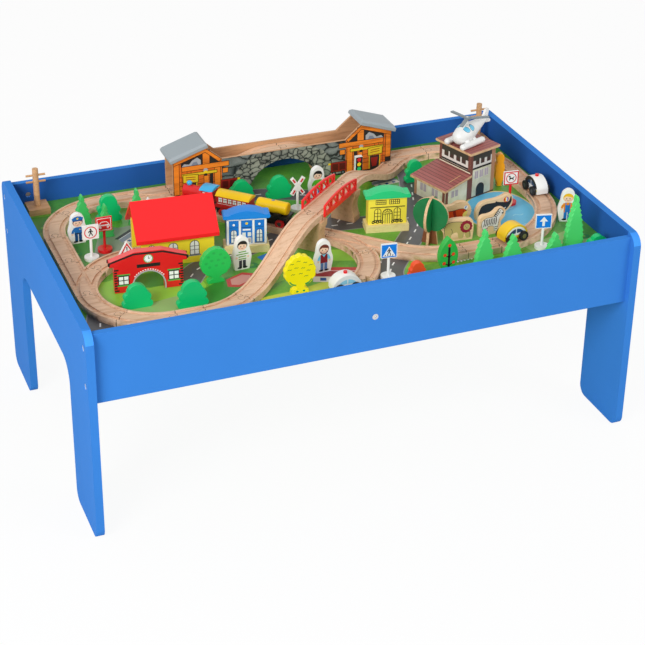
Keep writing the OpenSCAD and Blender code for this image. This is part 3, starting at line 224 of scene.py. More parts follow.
def painted(name, colour, rough=0.36, peel=0.05, cloud=0.05, coat=0.1, shine=0.4, inner=None):
    """Sprayed paint: faint clouds in the colour, an orange-peel bump and a soft gloss.

    In the tray the paint is darker inside, as painted shade, and its rounded edges and upper faces get
    painted highlights."""
    paint = Finish(name, coat_weight=coat, coat_roughness=0.25)
    paint.feed("Specular IOR Level", shine)
    spot = paint.place()
    tone = paint.blend(rgb(*colour, 1 - cloud), rgb(*colour, 1 + cloud), paint.noise(spot, cloud_scale))
    # Painted shade: a darker colour inside the tray. Painted highlights: lighter rounded edges and upper
    # faces.
    if inner:
        x, y, z = paint.axes(spot)
        inside = (abs(x) < inside_x / 1000) * (abs(y) < inside_y / 1000) * (z > board_top / 1000)
        tone = paint.blend(tone, rgb(*inner), inside)
        rise = paint.axes(paint.node("ShaderNodeTexCoord", out="Normal"))[2]
        edge_highlight, top_highlight = rise > 0.2, rise > 0.97
        tone = paint.blend(tone, rgb(*colour, 1.6), edge_highlight * (0.9 - 0.6 * top_highlight))
    paint.feed("Base Color", tone)
    paint.feed("Roughness", rough - 0.05 + 0.1 * paint.noise(spot, gloss_scale))
    paint.bump(paint.noise(spot, peel_scale, 2.0), peel_depth, peel)
    return paint.material


def round_edges(thing, edge, sharper_than=50):
    """Rounds the edges of a piece by so many mm."""
    rim = thing.modifiers.new("rim", "BEVEL")
    rim.width, rim.segments, rim.limit_method = edge / 1000, 3, "ANGLE"
    rim.angle_limit = math.radians(sharper_than)


def dress(name, finishes, edge=0.0, pick=None):
    """Gives a node its finishes and round edges; pick says which finish a face has."""
    part = node[name]
    part.data.materials.clear()
    for finish in finishes if isinstance(finishes, list) else [finishes]:
        part.data.materials.append(finish)
    if pick:
        for face in part.data.polygons:
            face.material_index = int(pick(face.center * 1000, face.normal))
    if edge:
        part.modifiers.new("join", "WELD").merge_threshold = 1e-5
        round_edges(part, edge)


# The darker inner colour is painted shade inside the tray; edges and upper faces carry painted highlights.
blue = painted("blue_lacquer", (57, 125, 205), rough=0.55, coat=0.0, shine=0.015, inner=(42, 96, 176))
for name in ("left_end_panel", "right_end_panel"):
    dress(name, blue, 2.5)
for name in ("front_rail", "back_rail"):
    dress(name, blue, 1.5)


# Fittings: zinc-plated bolts with hexagon sockets sunk in the painted faces, their barrel nuts,
# the wooden dowels that line the corners up, and the softwood bar that carries the board's middle.
zinc = Finish("zinc_plate", metallic=1.0)
spot = zinc.place()
zinc.feed("Base Color", zinc.blend(rgb(200, 200, 204), rgb(232, 232, 230), zinc.noise(spot, 300.0)))
zinc.feed("Roughness", 0.28 + 0.2 * zinc.noise(spot, 120.0))
dress("connector_bolts", zinc.material, 0.4)
dress("barrel_nuts", zinc.material, 0.4)


def sawn(name, pale_tone, dark_tone, along=0.0, rough=0.6):
    """Bare sanded wood: growth lines drawn out along the grain, fine dark flecks and a low sheen."""
    wood = Finish(name)
    grain = wood.place((7, 90, 90), along)
    line = wood.noise(grain, 1.6, 4.0, 0.6)
    fleck = wood.noise(wood.place((60, 900, 900), along), 1.0, 2.0)
    tone = wood.noise(wood.place(), 5.5, 1.0)
    bands = wood.ramp(line * 0.75 + 0.25 * tone,
                      (0.30, rgb(*dark_tone)), (0.50, rgb(*pale_tone)), (0.68, rgb(*pale_tone, 1.06)))
    wood.feed("Base Color", wood.blend(bands, rgb(*dark_tone, 0.85), (fleck > 0.62) * 0.35))
    wood.feed("Roughness", rough - 0.1 * line)
    wood.bump(line + 0.4 * fleck, 0.0006, 0.15)
    return wood.material


softwood = sawn("softwood", (214, 176, 128), (176, 130, 84))
dress("locating_dowels", softwood, 0.6)
dress("cross_bar", softwood, 1.0)


# Play board: thin fibreboard held in the grooves, printed with a country town seen from above.
# The print is layers of ink: meadows, roads with dashed lines, a pond, roofs, hedges and fences.
inks = dict(meadow=(134, 196, 62), lawn=(112, 182, 58), hedge=(52, 140, 58), straw=(196, 208, 70),
            lime=(142, 206, 66), shade=(62, 138, 48), mist=(146, 186, 112), path=(132, 148, 122),
            rose=(212, 150, 140), asphalt=(88, 88, 90), paving=(150, 152, 150), white=(246, 246, 244),
            water=(106, 198, 236), shallow=(152, 218, 242), sand=(226, 208, 150), tile=(196, 62, 56),
            tile_dark=(156, 44, 44), uniform_dark=(22, 76, 140), sign_blue=(18, 128, 228),
            slate=(128, 138, 154), wall=(224, 216, 200), black=(26, 26, 28))
pools, ink_finish, ink_lift = {}, {}, 0.03


def polar(u, v, degrees, wide, high=None):
    """A point round a middle, at an angle."""
    turned = math.radians(degrees)
    return u + wide * math.cos(turned), v + (wide if high is None else high) * math.sin(turned)


def arc(u, v, wide, high, start, end, steps):
    """Points round a middle, from one angle to another."""
    return [polar(u, v, start + (end - start) * k / steps, wide, high) for k in range(steps + 1)]


class Sheet:
    """A printed face, in mm: u to the right, v up the face, or to the back where it lies flat.

    Each ink lies a little above the face, and higher layers cover lower ones; flip -1 mirrors the print."""

    def __init__(self, spot, yaw=0.0, out=0.0, foot=board_top, flat=False, flip=1):
        self.spot, self.out, self.foot, self.flat, self.flip = spot, out, foot, flat, flip
        self.cos, self.sin = math.cos(math.radians(yaw)), math.sin(math.radians(yaw))

    def point(self, u, v, lift):
        x, y = self.spot
        if self.flat:
            return x + u * self.cos - v * self.sin, y + u * self.sin + v * self.cos, self.foot + lift
        away = self.out + lift
        return x + u * self.cos + away * self.sin, y + u * self.sin - away * self.cos, self.foot + v

    def fill(self, ink, outline, layer=1):
        corners, faces = pools.setdefault(ink, ([], []))
        first = len(corners)
        corners += [[c / 1000 for c in self.point(self.flip * u, v, ink_lift * layer)]
                    for u, v in outline[::self.flip]]
        faces.append(tuple(range(first, first + len(outline))))

    def bar(self, ink, u0, v0, u1, v1, layer=1):
        u0, u1 = sorted((u0, u1))
        self.fill(ink, [(u0, v0), (u1, v0), (u1, v1), (u0, v1)], layer)

    def disc(self, ink, u, v, wide, high=None, layer=1):
        self.fill(ink, arc(u, v, wide, high, 0, 360, 28)[:-1], layer)

    def arch(self, ink, u, foot, half, spring, steps, layer=1):
        """A shape with upright sides and a round top that begins at the spring's height."""
        top = arc(u, spring, half, half, 0, 180, steps)
        self.fill(ink, [(u - half, foot), (u + half, foot)] + top, layer)

    def band(self, ink, u, v, inner, outer, start=0, end=360, layer=1):
        steps = max(2, int(abs(end - start) / 15))
        near, far = (arc(u, v, radius, radius, start, end, steps) for radius in (inner, outer))
        for i in range(steps):
            self.fill(ink, [near[i], far[i], far[i + 1], near[i + 1]], layer)

    def line(self, ink, points, width, layer=1):
        """A strip of even width along the points, mitred at its bends."""
        sides = []
        for i, (u, v) in enumerate(points):
            ways = []
            after = points[max(i, 1):i + 2] if i else points[1:2]
            for (u0, v0), (u1, v1) in zip(points[max(i - 1, 0):i + 1], after):
                long = math.hypot(u1 - u0, v1 - v0) or 1.0
                ways.append(((v0 - v1) / long, (u1 - u0) / long))
            du, dv = (sum(way[k] for way in ways) for k in (0, 1))
            stretch = width / max(du * du + dv * dv, 0.8) * len(ways) / 2
            sides.append((u + du * stretch, v + dv * stretch, u - du * stretch, v - dv * stretch))
        for a, b in zip(sides, sides[1:]):
            self.fill(ink, [a[2:], b[2:], b[:2], a[:2]], layer)


def press(name, body="table"):
    """Turns the shapes gathered so far into one thin piece per ink, riding on a body."""
    for ink, (corners, faces) in pools.items():
        if ink not in ink_finish:
            ink_finish[ink] = painted(f"{ink}_ink", inks[ink], rough=0.42, peel=0.02, cloud=0.06, coat=0.1)
        piece = shaped(f"{name}_{ink}", corners, faces, [ink_finish[ink]])
        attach(piece, body)
    pools.clear()


def sweep(points, steps=8, closed=False):
    """A smooth path through the points, or a smooth loop."""
    path = []
    ends = points[-1:] + points + points[:2] if closed else points[:1] + points + points[-1:]
    for a, b, c, d in zip(ends, ends[1:], ends[2:], ends[3:]):
        for i in range(steps):
            t = i / steps
            path.append(tuple(0.5 * (2 * q + (r - p) * t + (2 * p - 5 * q + 4 * r - s) * t * t
                                     + (3 * q - p - 3 * r + s) * t ** 3) for p, q, r, s in zip(a, b, c, d)))
    return path if closed else path + points[-1:]


grass = Finish("grass_print", coat_weight=0.2, coat_roughness=0.2)
spot = grass.place()
wash = grass.noise(spot, 6.0, 4.0)
blades = grass.noise(spot, 240.0, 3.0)
grass.feed("Base Color", grass.ramp(0.72 * wash + 0.28 * blades,
                                    (0.30, rgb(56, 128, 44)), (0.47, rgb(86, 162, 46)),
                                    (0.60, rgb(112, 184, 56)), (0.75, rgb(146, 202, 66))))
grass.feed("Roughness", 0.34 + 0.12 * blades)
dress("play_board", grass.material)

board = Sheet((0, 0), flat=True)
patch_edge = (
    (-0.5, -0.5), (0, -0.6), (0.5, -0.5), (0.58, 0), (0.5, 0.5), (0, 0.45), (-0.5, 0.5), (-0.55, 0))
for i, (u, v, wide, deep, yaw, ink) in enumerate((
        (-402, -96, 62, 84, 0, "lime"), (-322, -124, 136, 44, 6, "lime"), (-326, -74, 110, 48, -4, "shade"),
        (-352, -178, 120, 48, 6, "mist"), (-238, -164, 116, 62, 24, "shade"),
        (-118, -128, 112, 50, 20, "lime"), (-100, -226, 130, 62, 8, "straw"),
        (40, -110, 90, 40, -14, "lime"), (150, -160, 100, 50, 10, "meadow"), (-392, 92, 80, 66, 0, "shade"),
        (-346, 84, 58, 118, -20, "path"), (400, -196, 110, 56, 14, "mist"), (250, -176, 90, 40, -12, "lime"),
        (210, 72, 90, 60, 20, "lawn"), (-190, 120, 110, 60, -8, "lawn"), (-440, 196, 66, 60, 0, "shade"))):
    patch = Sheet((u, v), yaw, flat=True)
    patch.fill(ink, sweep([(wide * u, deep * v) for u, v in patch_edge], 4, True), 0.5 + 0.25 * i)
roads = [sweep(points) for points in (
    [(-268, -104), (-236, -66), (-180, -44), (-72, -4), (0, 8), (76, 4), (150, -6), (203, -14)],
    [(46, -262), (64, -216), (82, -176), (150, -96), (188, -48), (204, -10), (232, 70), (262, 150),
     (262, 186)],
    [(46, 6), (88, 58), (78, 120), (10, 158), (-60, 176), (-150, 122), (-220, 104)],
    [(-432, -150), (-443, -182), (-452, -214), (-458, -246)])]
road_wide, kerb, dash_long, dash_wide, dash_step = 44, 2, 12, 2.6, 27
for i, road in enumerate(roads):
    board.line("paving", road, road_wide + 2 * kerb, 4.6 + 0.3 * i)
    board.line("asphalt", road, road_wide, 5.5 + 0.3 * i)
    travelled = 0.0
    for (u0, v0), (u1, v1) in zip(road, road[1:]):
        long = math.hypot(u1 - u0, v1 - v0)
        if travelled % dash_step + long > dash_step:
            du, dv = ((b - a) * dash_long / 2 / long for a, b in ((u0, u1), (v0, v1)))
            board.line("white", [(u0 - du, v0 - dv), (u0 + du, v0 + dv)], dash_wide, 6.4 + 0.25 * i)
        travelled += long
pond = [(290, -60), (312, -112), (352, -142), (398, -128), (422, -80), (424, -20), (404, 24), (372, 34),
        (330, 20), (300, -14)]
(pond_u, pond_v), beach = (355, -66), 0.04
shore = [(u + (u - pond_u) * beach, v + (v - pond_v) * beach) for u, v in pond]
board.fill("sand", sweep(shore, closed=True), 7.2)
board.fill("water", sweep(pond, closed=True), 7.5)
for u, v, wide in ((372, -40, 34), (384, -70, 22), (340, -20, 26), (366, -108, 30)):
    ripple = [(u - wide / 2, v), (u - wide / 6, v + 3), (u + wide / 6, v - 2), (u + wide / 2, v + 1)]
    board.line("shallow", sweep(ripple, 5), 2.4, 7.8)
for u, v, yaw, wide, roof, dark in (
        (-16, -168, -20, 88, "tile_dark", "tile"), (-316, 96, 38, 52, "slate", "black"),
        (206, 150, 8, 52, "slate", "black"), (-108, 84, 18, 48, "tile", "tile_dark"),
        (424, 176, -12, 46, "tile", "tile_dark")):
    house = Sheet((u, v), yaw, flat=True)
    house.bar("wall", -wide / 2, -wide * 0.34, wide / 2, -wide * 0.1, 7.2)
    for k in (-0.3, 0.0, 0.3):
        house.bar("uniform_dark", wide * (k - 0.06), -wide * 0.29, wide * (k + 0.06), -wide * 0.17, 7.5)
    for ink, corners in ((roof, ((-0.56, -0.12), (0.56, -0.12), (0.44, 0.12), (-0.44, 0.12))),
                         (dark, ((-0.44, 0.12), (0.44, 0.12), (0.5, 0.27), (-0.5, 0.27)))):
        house.fill(ink, [(wide * u, wide * v) for u, v in corners], 7.8)
    house.line("white", [(-wide * 0.44, wide * 0.12), (wide * 0.44, wide * 0.12)], 1.2, 8.1)
sandbox = Sheet((-182, -130), 24, flat=True)
kerbs = ((-33, -4), (-20, -18), (18, -18), (33, 0), (20, 17), (-18, 17))
for ink, size, layer in (("tile", 1.0, 7.2), ("rose", 0.7, 7.5)):
    sandbox.fill(ink, [(u * size, v * size) for u, v in kerbs], layer)
Sheet((-113, -68), 20, flat=True).bar("sign_blue", -12, -11, 12, 11, 7.2)
for u, v, size in ((-250, 70, 13), (-222, 84, 10), (-448, 176, 14), (-410, 208, 11), (-150, 160, 12),
                   (92, 176, 12), (118, 186, 9), (250, 6, 9), (222, -142, 10), (-146, -88, 12),
                   (-132, -96, 9), (440, 120, 12), (456, -190, 11), (-421, 58, 9), (110, -258, 10),
                   (-380, -226, 12), (-140, 50, 11), (296, 196, 10)):
    board.disc("hedge", u, v, size, size * 0.85, 8.4)
    board.disc("lawn", u - size * 0.2, v + size * 0.2, size * 0.55, size * 0.42, 8.7)
for u, v, yaw, count in ((-122, -219, -3, 7), (48, -164, 32, 4), (-250, 150, 0, 7), (196, -196, 4, 8)):
    fence = Sheet((u, v), yaw, flat=True)
    for i in range(count):
        fence.bar("white", i * 7, -6, i * 7 + 3.4, 7, 9.0)
    for rail in (-2.5, 3):
        fence.bar("white", -2, rail - 0.8, count * 7 - 1, rail + 0.8, 9.3)
press("board_print")


# Track: bare beech, sawn and sanded, with two milled wheel grooves; the pieces join by round pegs
# in sockets. The ramps rise in an S, and the bridge stands on two waisted piers.
beech = sawn("beech", (228, 190, 158), (198, 152, 114), 18)
beech_dark = sawn("beech_side", (214, 172, 132), (180, 134, 94), 64)
# Painted shade: the sawn ends at the joints are dark, standing for the shadow in the gap between pieces.
joint_gap_shade = sawn("joint_gap_shade", (104, 70, 48), (70, 46, 32), 18)
tracks = ("curve_tracks", "straight_tracks", "switch_tracks", "ramp_tracks", "bridge_deck")
joint_reach = 0.0016
corners, faces = [], []
for name in tracks:
    first = len(corners)
    corners += [corner.co for corner in node[name].data.vertices]
    faces += [[first + k for k in face.vertices] for face in node[name].data.polygons]
laid = BVHTree.FromPolygons(corners, faces)


def at_joint(spot, normal):
    """The upright faces that look at the next piece across a joint; they get a dark painted shade for the
    gap.
    """
    facing = laid.ray_cast((spot + 0.1 * normal) / 1000, normal, joint_reach)[0]
    return abs(normal.z) < 0.5 and facing is not None


for name in tracks:
    dress(name, [beech, joint_gap_shade], 0.8, at_joint)
dress("bridge_piers", beech_dark, 1.0)


# Bridge guards: two lattice sides with bowed tops, sawn from thin board and painted a glossy red;
# each is fixed flat against one long side of the bridge's deck.
red = painted("red_paint", (226, 30, 34), rough=0.3)
dress("bridge_guards", painted("guard_red", (244, 40, 42), shine=0.3), 0.6)


# Train shed: two yellow walls of plywood under a red saddle roof, open at both ends. The walls'
# sawn ends stay bare, and round-topped windows are printed along both sides.
ply = sawn("plywood_edge", (222, 184, 140), (178, 134, 92), 90)
yellow = painted("yellow_paint", (255, 228, 52))
roof_red = painted("roof_red", (246, 34, 38), rough=0.4, shine=0.25)
shed_place, shed_yaw, shed_half = (-262, 5), -4.5, 44
lengthwise = Vector((*polar(0, 0, shed_yaw, 1), 0))
dress("shed_walls", [yellow, ply], 0.5, lambda spot, normal: abs(normal.dot(lengthwise)) > 0.8)
dress("shed_roof", roof_red, 0.8)
inks.update(bars=(40, 40, 44), pane=(236, 238, 232))


def arched_window(sheet, u, foot, half, high, frame_ink="bars", pane_ink="pane", sill="slate", layer=1):
    """A round-topped window: dark rim, pale panes, a mullion, two cross-bars and a sill."""
    for ink, grow, up in ((frame_ink, 1.2, 0), (pane_ink, 0.0, 1)):
        sheet.arch(ink, u, foot - grow, half + grow, foot + high - half, 8, layer + up)
    sheet.bar(frame_ink, u - 0.6, foot, u + 0.6, foot + high, layer + 2)
    for part in (0.33, 0.62):
        rise = foot + high * part
        sheet.bar(frame_ink, u - half, rise - 0.5, u + half, rise + 0.5, layer + 2)
    sheet.bar(sill, u - half - 4, foot - 3.4, u + half + 4, foot - 1.2, layer + 1)


for yaw, flip in ((shed_yaw, 1), (shed_yaw + 180, -1)):
    wall = Sheet(shed_place, yaw, shed_half, flip=flip)
    for u in (-46, -8, 30):
        arched_window(wall, u, 16, 7.5, 26)
press("shed_print")


# Station: one thick board cut to a gabled front with an archway, painted red, with its roof line,
# brick ends, windows, clock and a blank name board printed on both faces.
# Painted highlight: the gable's upward faces are a lighter red.
station_top_highlight = painted("station_top_highlight", (236, 86, 84), rough=0.4)
gable_foot = 395
dress("station_arch", [red, station_top_highlight], 1.2, lambda spot, normal: normal.z > 0.5 and spot.z > gable_foot)
inks.update(trim_green=(88, 168, 74), stone=(176, 178, 182))
clock, window, course = 60.4, 43, 4.9
for yaw in (-6.0, 174.0):
    front = Sheet((-338, -104), yaw, 7)
    for side in (-1, 1):
        front.line("black", [(side * 67, 53), (side * 67, 58), (side * 25, 71), (0, 71)], 3.4)
        for i in range(9):
            reach = 5.0 if i % 2 else 8.0
            front.bar("black", side * 59, 3.4 + i * course, side * (59 - reach), 6.4 + i * course)
        front.bar("black", side * window - 9.5, 15, side * window + 9.5, 33)
        for column in (-1, 1):
            pane = side * window + column * 4.4
            for row in (16.6, 24.6):
                front.bar("white", pane - 3.6, row, pane + 3.6, row + 6.4, 2)
        for v in (12.6, 33):
            front.bar("trim_green", side * window - 11, v, side * window + 11, v + 2.6, 2)
    front.band("stone", 0, 9, 27.2, 29.6, 0, 180)
    for side in (-1, 1):
        front.bar("stone", side * 27.2, 0, side * 29.6, 9)
    for k in range(14):
        front.band("white", 0, 9, 30.2, 32.0, 34 + k * 8, 38 + k * 8, 2)
    front.bar("black", -20, 44.5, 20, 51)
    front.disc("trim_green", 0, clock, 8.2)
    front.disc("white", 0, clock, 6.8, layer=2)
    for hour in range(12):
        front.line("bars", [polar(0, clock, 30 * hour, radius) for radius in (5.2, 6.3)], 0.7, 3)
    front.line("black", [(0, clock), (3.4, clock + 0.8)], 1.1, 3)
    front.line("black", [(0, clock), (0.6, clock + 4.4)], 0.8, 3)
press("station_print")


# Mine: two plywood side boards with an arch, printed in front with plank sheds and a rock face and
# left bare behind, joined by two thick grey roofs; the hump of track runs between them.
rock = Finish("rock_print", coat_weight=0.1, coat_roughness=0.3)
spot = rock.place()
waver = rock.node("ShaderNodeTexNoise", {}, {"Vector": spot, "Scale": 60.0}, out=1)
bent = rock.node("ShaderNodeVectorMath", {"operation": "MULTIPLY_ADD"}, {
    0: waver, 1: (0.012, 0.012, 0.012), 2: spot})
mine_place, rubble_wide, rubble_high = (23, 210.5), 0.072, 0.052
across_board, _, up_board = rock.axes(spot)
beside = (across_board - mine_place[0] / 1000) / rubble_wide
over = (up_board - board_top / 1000) / rubble_high
rubble = (beside * beside + over * over + 0.9 * rock.noise(spot, 22.0)) < 2.9
grain = rock.noise(spot, 420.0, 4.0)


def stones(stretch, scale, dark, middle, light):
    """Stones packed close: each with a tone of its own, lit from above, with black joints between."""
    stretched = rock.node("ShaderNodeMapping", {}, {"Vector": bent, "Scale": stretch})
    cells = {"Vector": stretched, "Scale": scale}
    seam = rock.node("ShaderNodeTexVoronoi", {"feature": "DISTANCE_TO_EDGE"}, cells)
    own_tone = rock.node("ShaderNodeTexVoronoi", {"feature": "F1"}, cells, out="Color")
    stone = rock.ramp(0.35 * rock.axes(own_tone)[0] + 0.4 * grain + 0.9 * seam,
                      (0.18, rgb(*dark)), (0.45, rgb(*middle)), (0.8, rgb(*light)))
    joint = rock.node("ShaderNodeMapRange", {}, {0: seam, 1: 0.02, 2: 0.09})
    return rock.blend(rgb(24, 26, 28), stone, joint)


boulders = stones((0.55, 1.0, 1.5), 36.0, (62, 68, 70), (104, 110, 108), (146, 150, 146))
pebbles = stones((1.0, 1.0, 1.3), 72.0, (80, 82, 78), (128, 130, 120), (168, 170, 154))
rock.feed("Base Color", rock.blend(boulders, pebbles, rubble))
rock.feed("Roughness", 0.5 - 0.1 * grain)
brown_ply = sawn("ply_inside", (206, 158, 116), (170, 122, 84))
grey_roof = painted("grey_roof", (160, 170, 175), rough=0.5, shine=0.25)
dress("mine_front_board", [brown_ply, rock.material], 0.4, lambda spot, normal: normal.y < -0.9)
dress("mine_back_board", brown_ply, 0.4)
dress("mine_roofs", grey_roof, 0.8)
inks.update(plank=(242, 132, 30), plank_dark=(222, 106, 22), plank_line=(52, 26, 14), gloom=(40, 38, 38),
            lamp_yellow=(250, 214, 30), cart=(158, 34, 28), cart_dark=(96, 18, 18),
            board_yellow=(232, 200, 40))
ink_finish["plank"] = sawn("plank_print", (246, 138, 34), (176, 84, 18))
ink_finish["plank_dark"] = sawn("plank_shade", (226, 112, 24), (156, 70, 14))


def beam(sheet, u0, v0, u1, v1, ink="plank", layer=3, lean=0.0):
    """A plank with a dark rim."""
    for tone, rim, up in (("plank_line", 1, 0), (ink, 0, 1)):
        low, high, left, right = v0 - rim, v1 + rim, u0 - rim, u1 + rim
        sheet.fill(tone, [(left, low), (right, low + lean), (right, high + lean), (left, high)], layer + up)


for flip, foot in ((-1, 0.4), (1, 14.2)):
    rocks = Sheet(mine_place, 0, 5, flip=flip)
    rocks.fill("plank_dark", [(126, 0.4), (200.4, 0.4), (200.4, foot), (221, foot), (221, 78.6), (158, 99.4),
                              (126, 72.4)], 1)
    for i in range(1, 6):
        rocks.bar("plank_line", 127, 9 * i, 220, 9 * i + 0.8, 2 if 9 * i > 14 else 0.5)
    for u in (186, 194, 204):
        rocks.bar("plank_line", u, 15, u + 0.8, 58, 2)
    rocks.fill("gloom", [(148, 66), (206, 66), (206, 77), (165, 90.4), (148, 86), (131, 70), (131, 66)], 2.4)
    rocks.fill("stone", [(167, 67), (204, 67), (200, 72), (190, 70), (184, 77), (174, 82), (167, 76)], 3)
    rocks.fill("slate", [(172, 67), (186, 67), (182, 73), (175, 74)], 4)
    rocks.bar("gloom", 143, 12, 150, 46, 2.4)
    for ends in ((210, foot + 1, 220, 77), (150, 66, 163, 94), (129, 1, 140, 60), (152, 1, 161, 42)):
        beam(rocks, *ends)
    beam(rocks, 112, 57, 204, 66, layer=6)
    beam(rocks, 136, 46, 204, 51, "board_yellow", 5)
    beam(rocks, 114, 43, 124, 52, layer=5)
    gable_rim = [(221, 69.5), (221, 78.8), (158, 99.6), (126, 72.6), (130.5, 66), (158, 89.6)]
    gable = [(220.4, 70.6), (220.4, 77.6), (158, 98.2), (127.4, 72.4), (131, 67.6), (158, 90.8)]
    rocks.fill("plank_line", gable_rim, 7)
    rocks.fill("plank", gable, 8)
    beam(rocks, 173, 32, 202, 47, "board_yellow", 8, 2.0)
    for v in (37, 41.5):
        rocks.fill("cart", [(178, v + 0.4), (197, v + 1.8), (197, v + 3.2), (178, v + 1.8)], 10)
    rocks.disc("stone", 158, 54, 4.6, 3.6, 8)
    rocks.disc("lamp_yellow", 158, 49.4, 3.8, layer=9)
    rocks.disc("gloom", 158, 44.6, 3.4, 2.6, 9)
    for u in (175, 197):
        rocks.bar("board_yellow", u, 4, u + 2, 32, 6)
    rocks.fill("gloom", [(178, 3), (196, 3), (197, 31), (177, 31)], 4)
    rocks.fill("cart", [(182, 8), (191, 8), (194, 27), (179, 27)], 5)
    beam(rocks, 210, foot + 0.6, 220, foot + 9, "black", 5)
    beam(rocks, 96, 8, 128, 28, "cart", 8)
    for u in (98.5, 113.5):
        rocks.bar("cart_dark", u, 11, u + 12, 25, 10)
    rocks.fill("gloom", [(76, 0.4), (200, 0.4), (200, 3.4), (78, 3.4)], 9)
    for u in (102, 121):
        rocks.disc("gloom", u, 5.4, 4.2, layer=10)
        rocks.disc("slate", u, 5.4, 1.8, layer=11)
    rocks.bar("lamp_yellow", 90, 24, 95, 28, 9)
press("mine_print")


# Castle: a tower and a lower hall of thin printed boards under roofs of maroon planks, the tower's
# flat and the hall's sloping. The print has rough plaster, timber posts, a gallery below the
# tower's roof, windows and a dark door.
plaster = Finish("plaster_print", coat_weight=0.05)
spot = plaster.place()
trowel = plaster.noise(spot, 46.0, 5.0)
plaster.feed("Base Color", plaster.ramp(
    trowel, (0.3, rgb(200, 200, 170)), (0.5, rgb(228, 226, 200)), (0.7, rgb(242, 240, 220))))
plaster.feed("Roughness", 0.5 + 0.1 * trowel)
dress("castle_walls", plaster.material, 0.4)
castle, castle_yaw = (343, 71), 18.0
tower_deep, tower_wide, hall_start, hall_end = 42.5, 32, 32.3, 94.2
planks_per_metre, tenon_at, tenon_half = 122.0, (0.2876, -0.070), (0.0145, 0.0008)


def plank_roof(name, axis):
    """Stained planks side by side: each with its own tone, streaks along it and a dark joint."""
    planks = Finish(name, coat_weight=0.05, coat_roughness=0.3)
    over = planks.axes(planks.place((1, 1, 1), -castle_yaw))
    rows = over[axis] * planks_per_metre
    joint = rows % 1.0 < 0.2
    own_tone = planks.node("ShaderNodeTexWhiteNoise", {"noise_dimensions": "1D"}, {
        "W": planks.node("ShaderNodeMath", {"operation": "FLOOR"}, {0: rows})})
    streak = planks.noise(planks.place((500, 30, 500) if axis == 0 else (30, 500, 500), -castle_yaw), 1.0)
    tone = planks.blend(rgb(136, 64, 60), rgb(186, 112, 104), 0.5 * own_tone + 0.5 * streak)
    tone = planks.blend(tone, rgb(92, 46, 44), joint * 0.8)
    on_tenon = [abs(over[k] - tenon_at[k]) < tenon_half[k] for k in (0, 1)]
    planks.feed("Base Color", planks.blend(tone, rgb(214, 170, 120), on_tenon[0] * on_tenon[1]))
    planks.feed("Roughness", 0.6 - 0.15 * streak)
    planks.bump(1 - joint, 0.0006, 0.4)
    return planks.material


def castle_roof_face(spot, normal):
    """Bare sawn edges; planks along the tower's front, and across the hall's fall."""
    along = (spot - Vector((*castle, 0))).dot(Vector((*polar(0, 0, castle_yaw, 1), 0)))
    return 2 if abs(normal.z) < 0.6 else along > -hall_start


roof_planks = [plank_roof("hall_planks", 0), plank_roof("tower_planks", 1), ply]
dress("castle_roofs", roof_planks, 0.4, castle_roof_face)
inks.update(timber=(122, 72, 62), timber_dark=(78, 50, 44), timber_pale=(184, 136, 104), gallery=(62, 60, 52),
            shutter=(186, 172, 182), block=(226, 222, 214), door=(40, 42, 46))
tower_front, tower_right, tower_back, tower_left = (
    Sheet(castle, castle_yaw + 90 * k, tower_wide if k % 2 else tower_deep) for k in (0, 1, 2, -1))
for face, half, foot in ((tower_front, tower_wide, 0), (tower_left, tower_deep, 55),
                         (tower_right, tower_deep, 0), (tower_back, tower_wide, 0)):
    face.bar("gallery", -half + 5, 66, half - 5, 91.6)
    face.bar("block", -half + 5, 62.6, half - 5, 67.6, 2)
    count = int(half / 10)
    step = (2 * half - 20) / count
    for i in range(count + 1):
        u, wide = -half + 10 + i * step, 1.8 if i % 2 else 3.2
        face.bar("block", u - wide, 67.6, u + wide, 79 if i % 2 else 77, 2)
        if i < count:
            for part in (0.36, 0.64):
                face.bar("timber_dark", u + step * part - 1.4, 68, u + step * part + 1.4, 75, 2)
    face.bar("black", -half + 5, 58.6, half - 5, 62.6, 2)
    for edge in (-half, half - 6.5):
        face.bar("timber", edge, foot, edge + 6.5, 91.6, 3)
    face.bar("timber_dark", -half, foot, half, foot + 3, 3.3)
tower_front.bar("timber_pale", 23, 3, 32, 91.6, 3.6)
tower_right.bar("timber_pale", -42.5, 3, -36, 91.6, 3.6)
for face in (tower_front, tower_right, tower_back):
    for u in (-15, -2.5, 11):
        face.bar("block", u - 5.2, 38.4, u + 5.2, 55)
        face.bar("shutter", u - 4.2, 39.4, u + 4.2, 54, 2)
        face.bar("block", u - 0.5, 39.4, u + 0.5, 54, 3)
for face, u in ((tower_front, -4), (tower_back, 0)):
    for ink, grow, layer in (("timber_dark", 1.6, 2), ("door", 0.0, 3)):
        face.arch(ink, u, 0, 9 + grow, 17, 10, layer)
hall_left = Sheet(castle, castle_yaw - 90, hall_end)
hall_left.bar("timber_pale", -42.5, 0, -35.5, 34)
hall_left.bar("timber", 34.5, 0, 41.7, 34)
for u in (-18, 14):
    for leaf in (u - 4.6, u + 4.6):
        hall_left.bar("shutter", leaf - 3.6, 14, leaf + 3.6, 29)
for yaw, flip in ((castle_yaw, 1), (castle_yaw + 180, -1)):
    hall = Sheet(castle, yaw, tower_deep, flip=flip)
    for edge, top in ((-93.6, 34), (-38.6, 46)):
        hall.bar("timber", edge, 0, edge + 7, top)
    for leaf in (-74.8, -65.2):
        hall.bar("shutter", leaf - 3.6, 17, leaf + 3.6, 30)
press("castle_print")


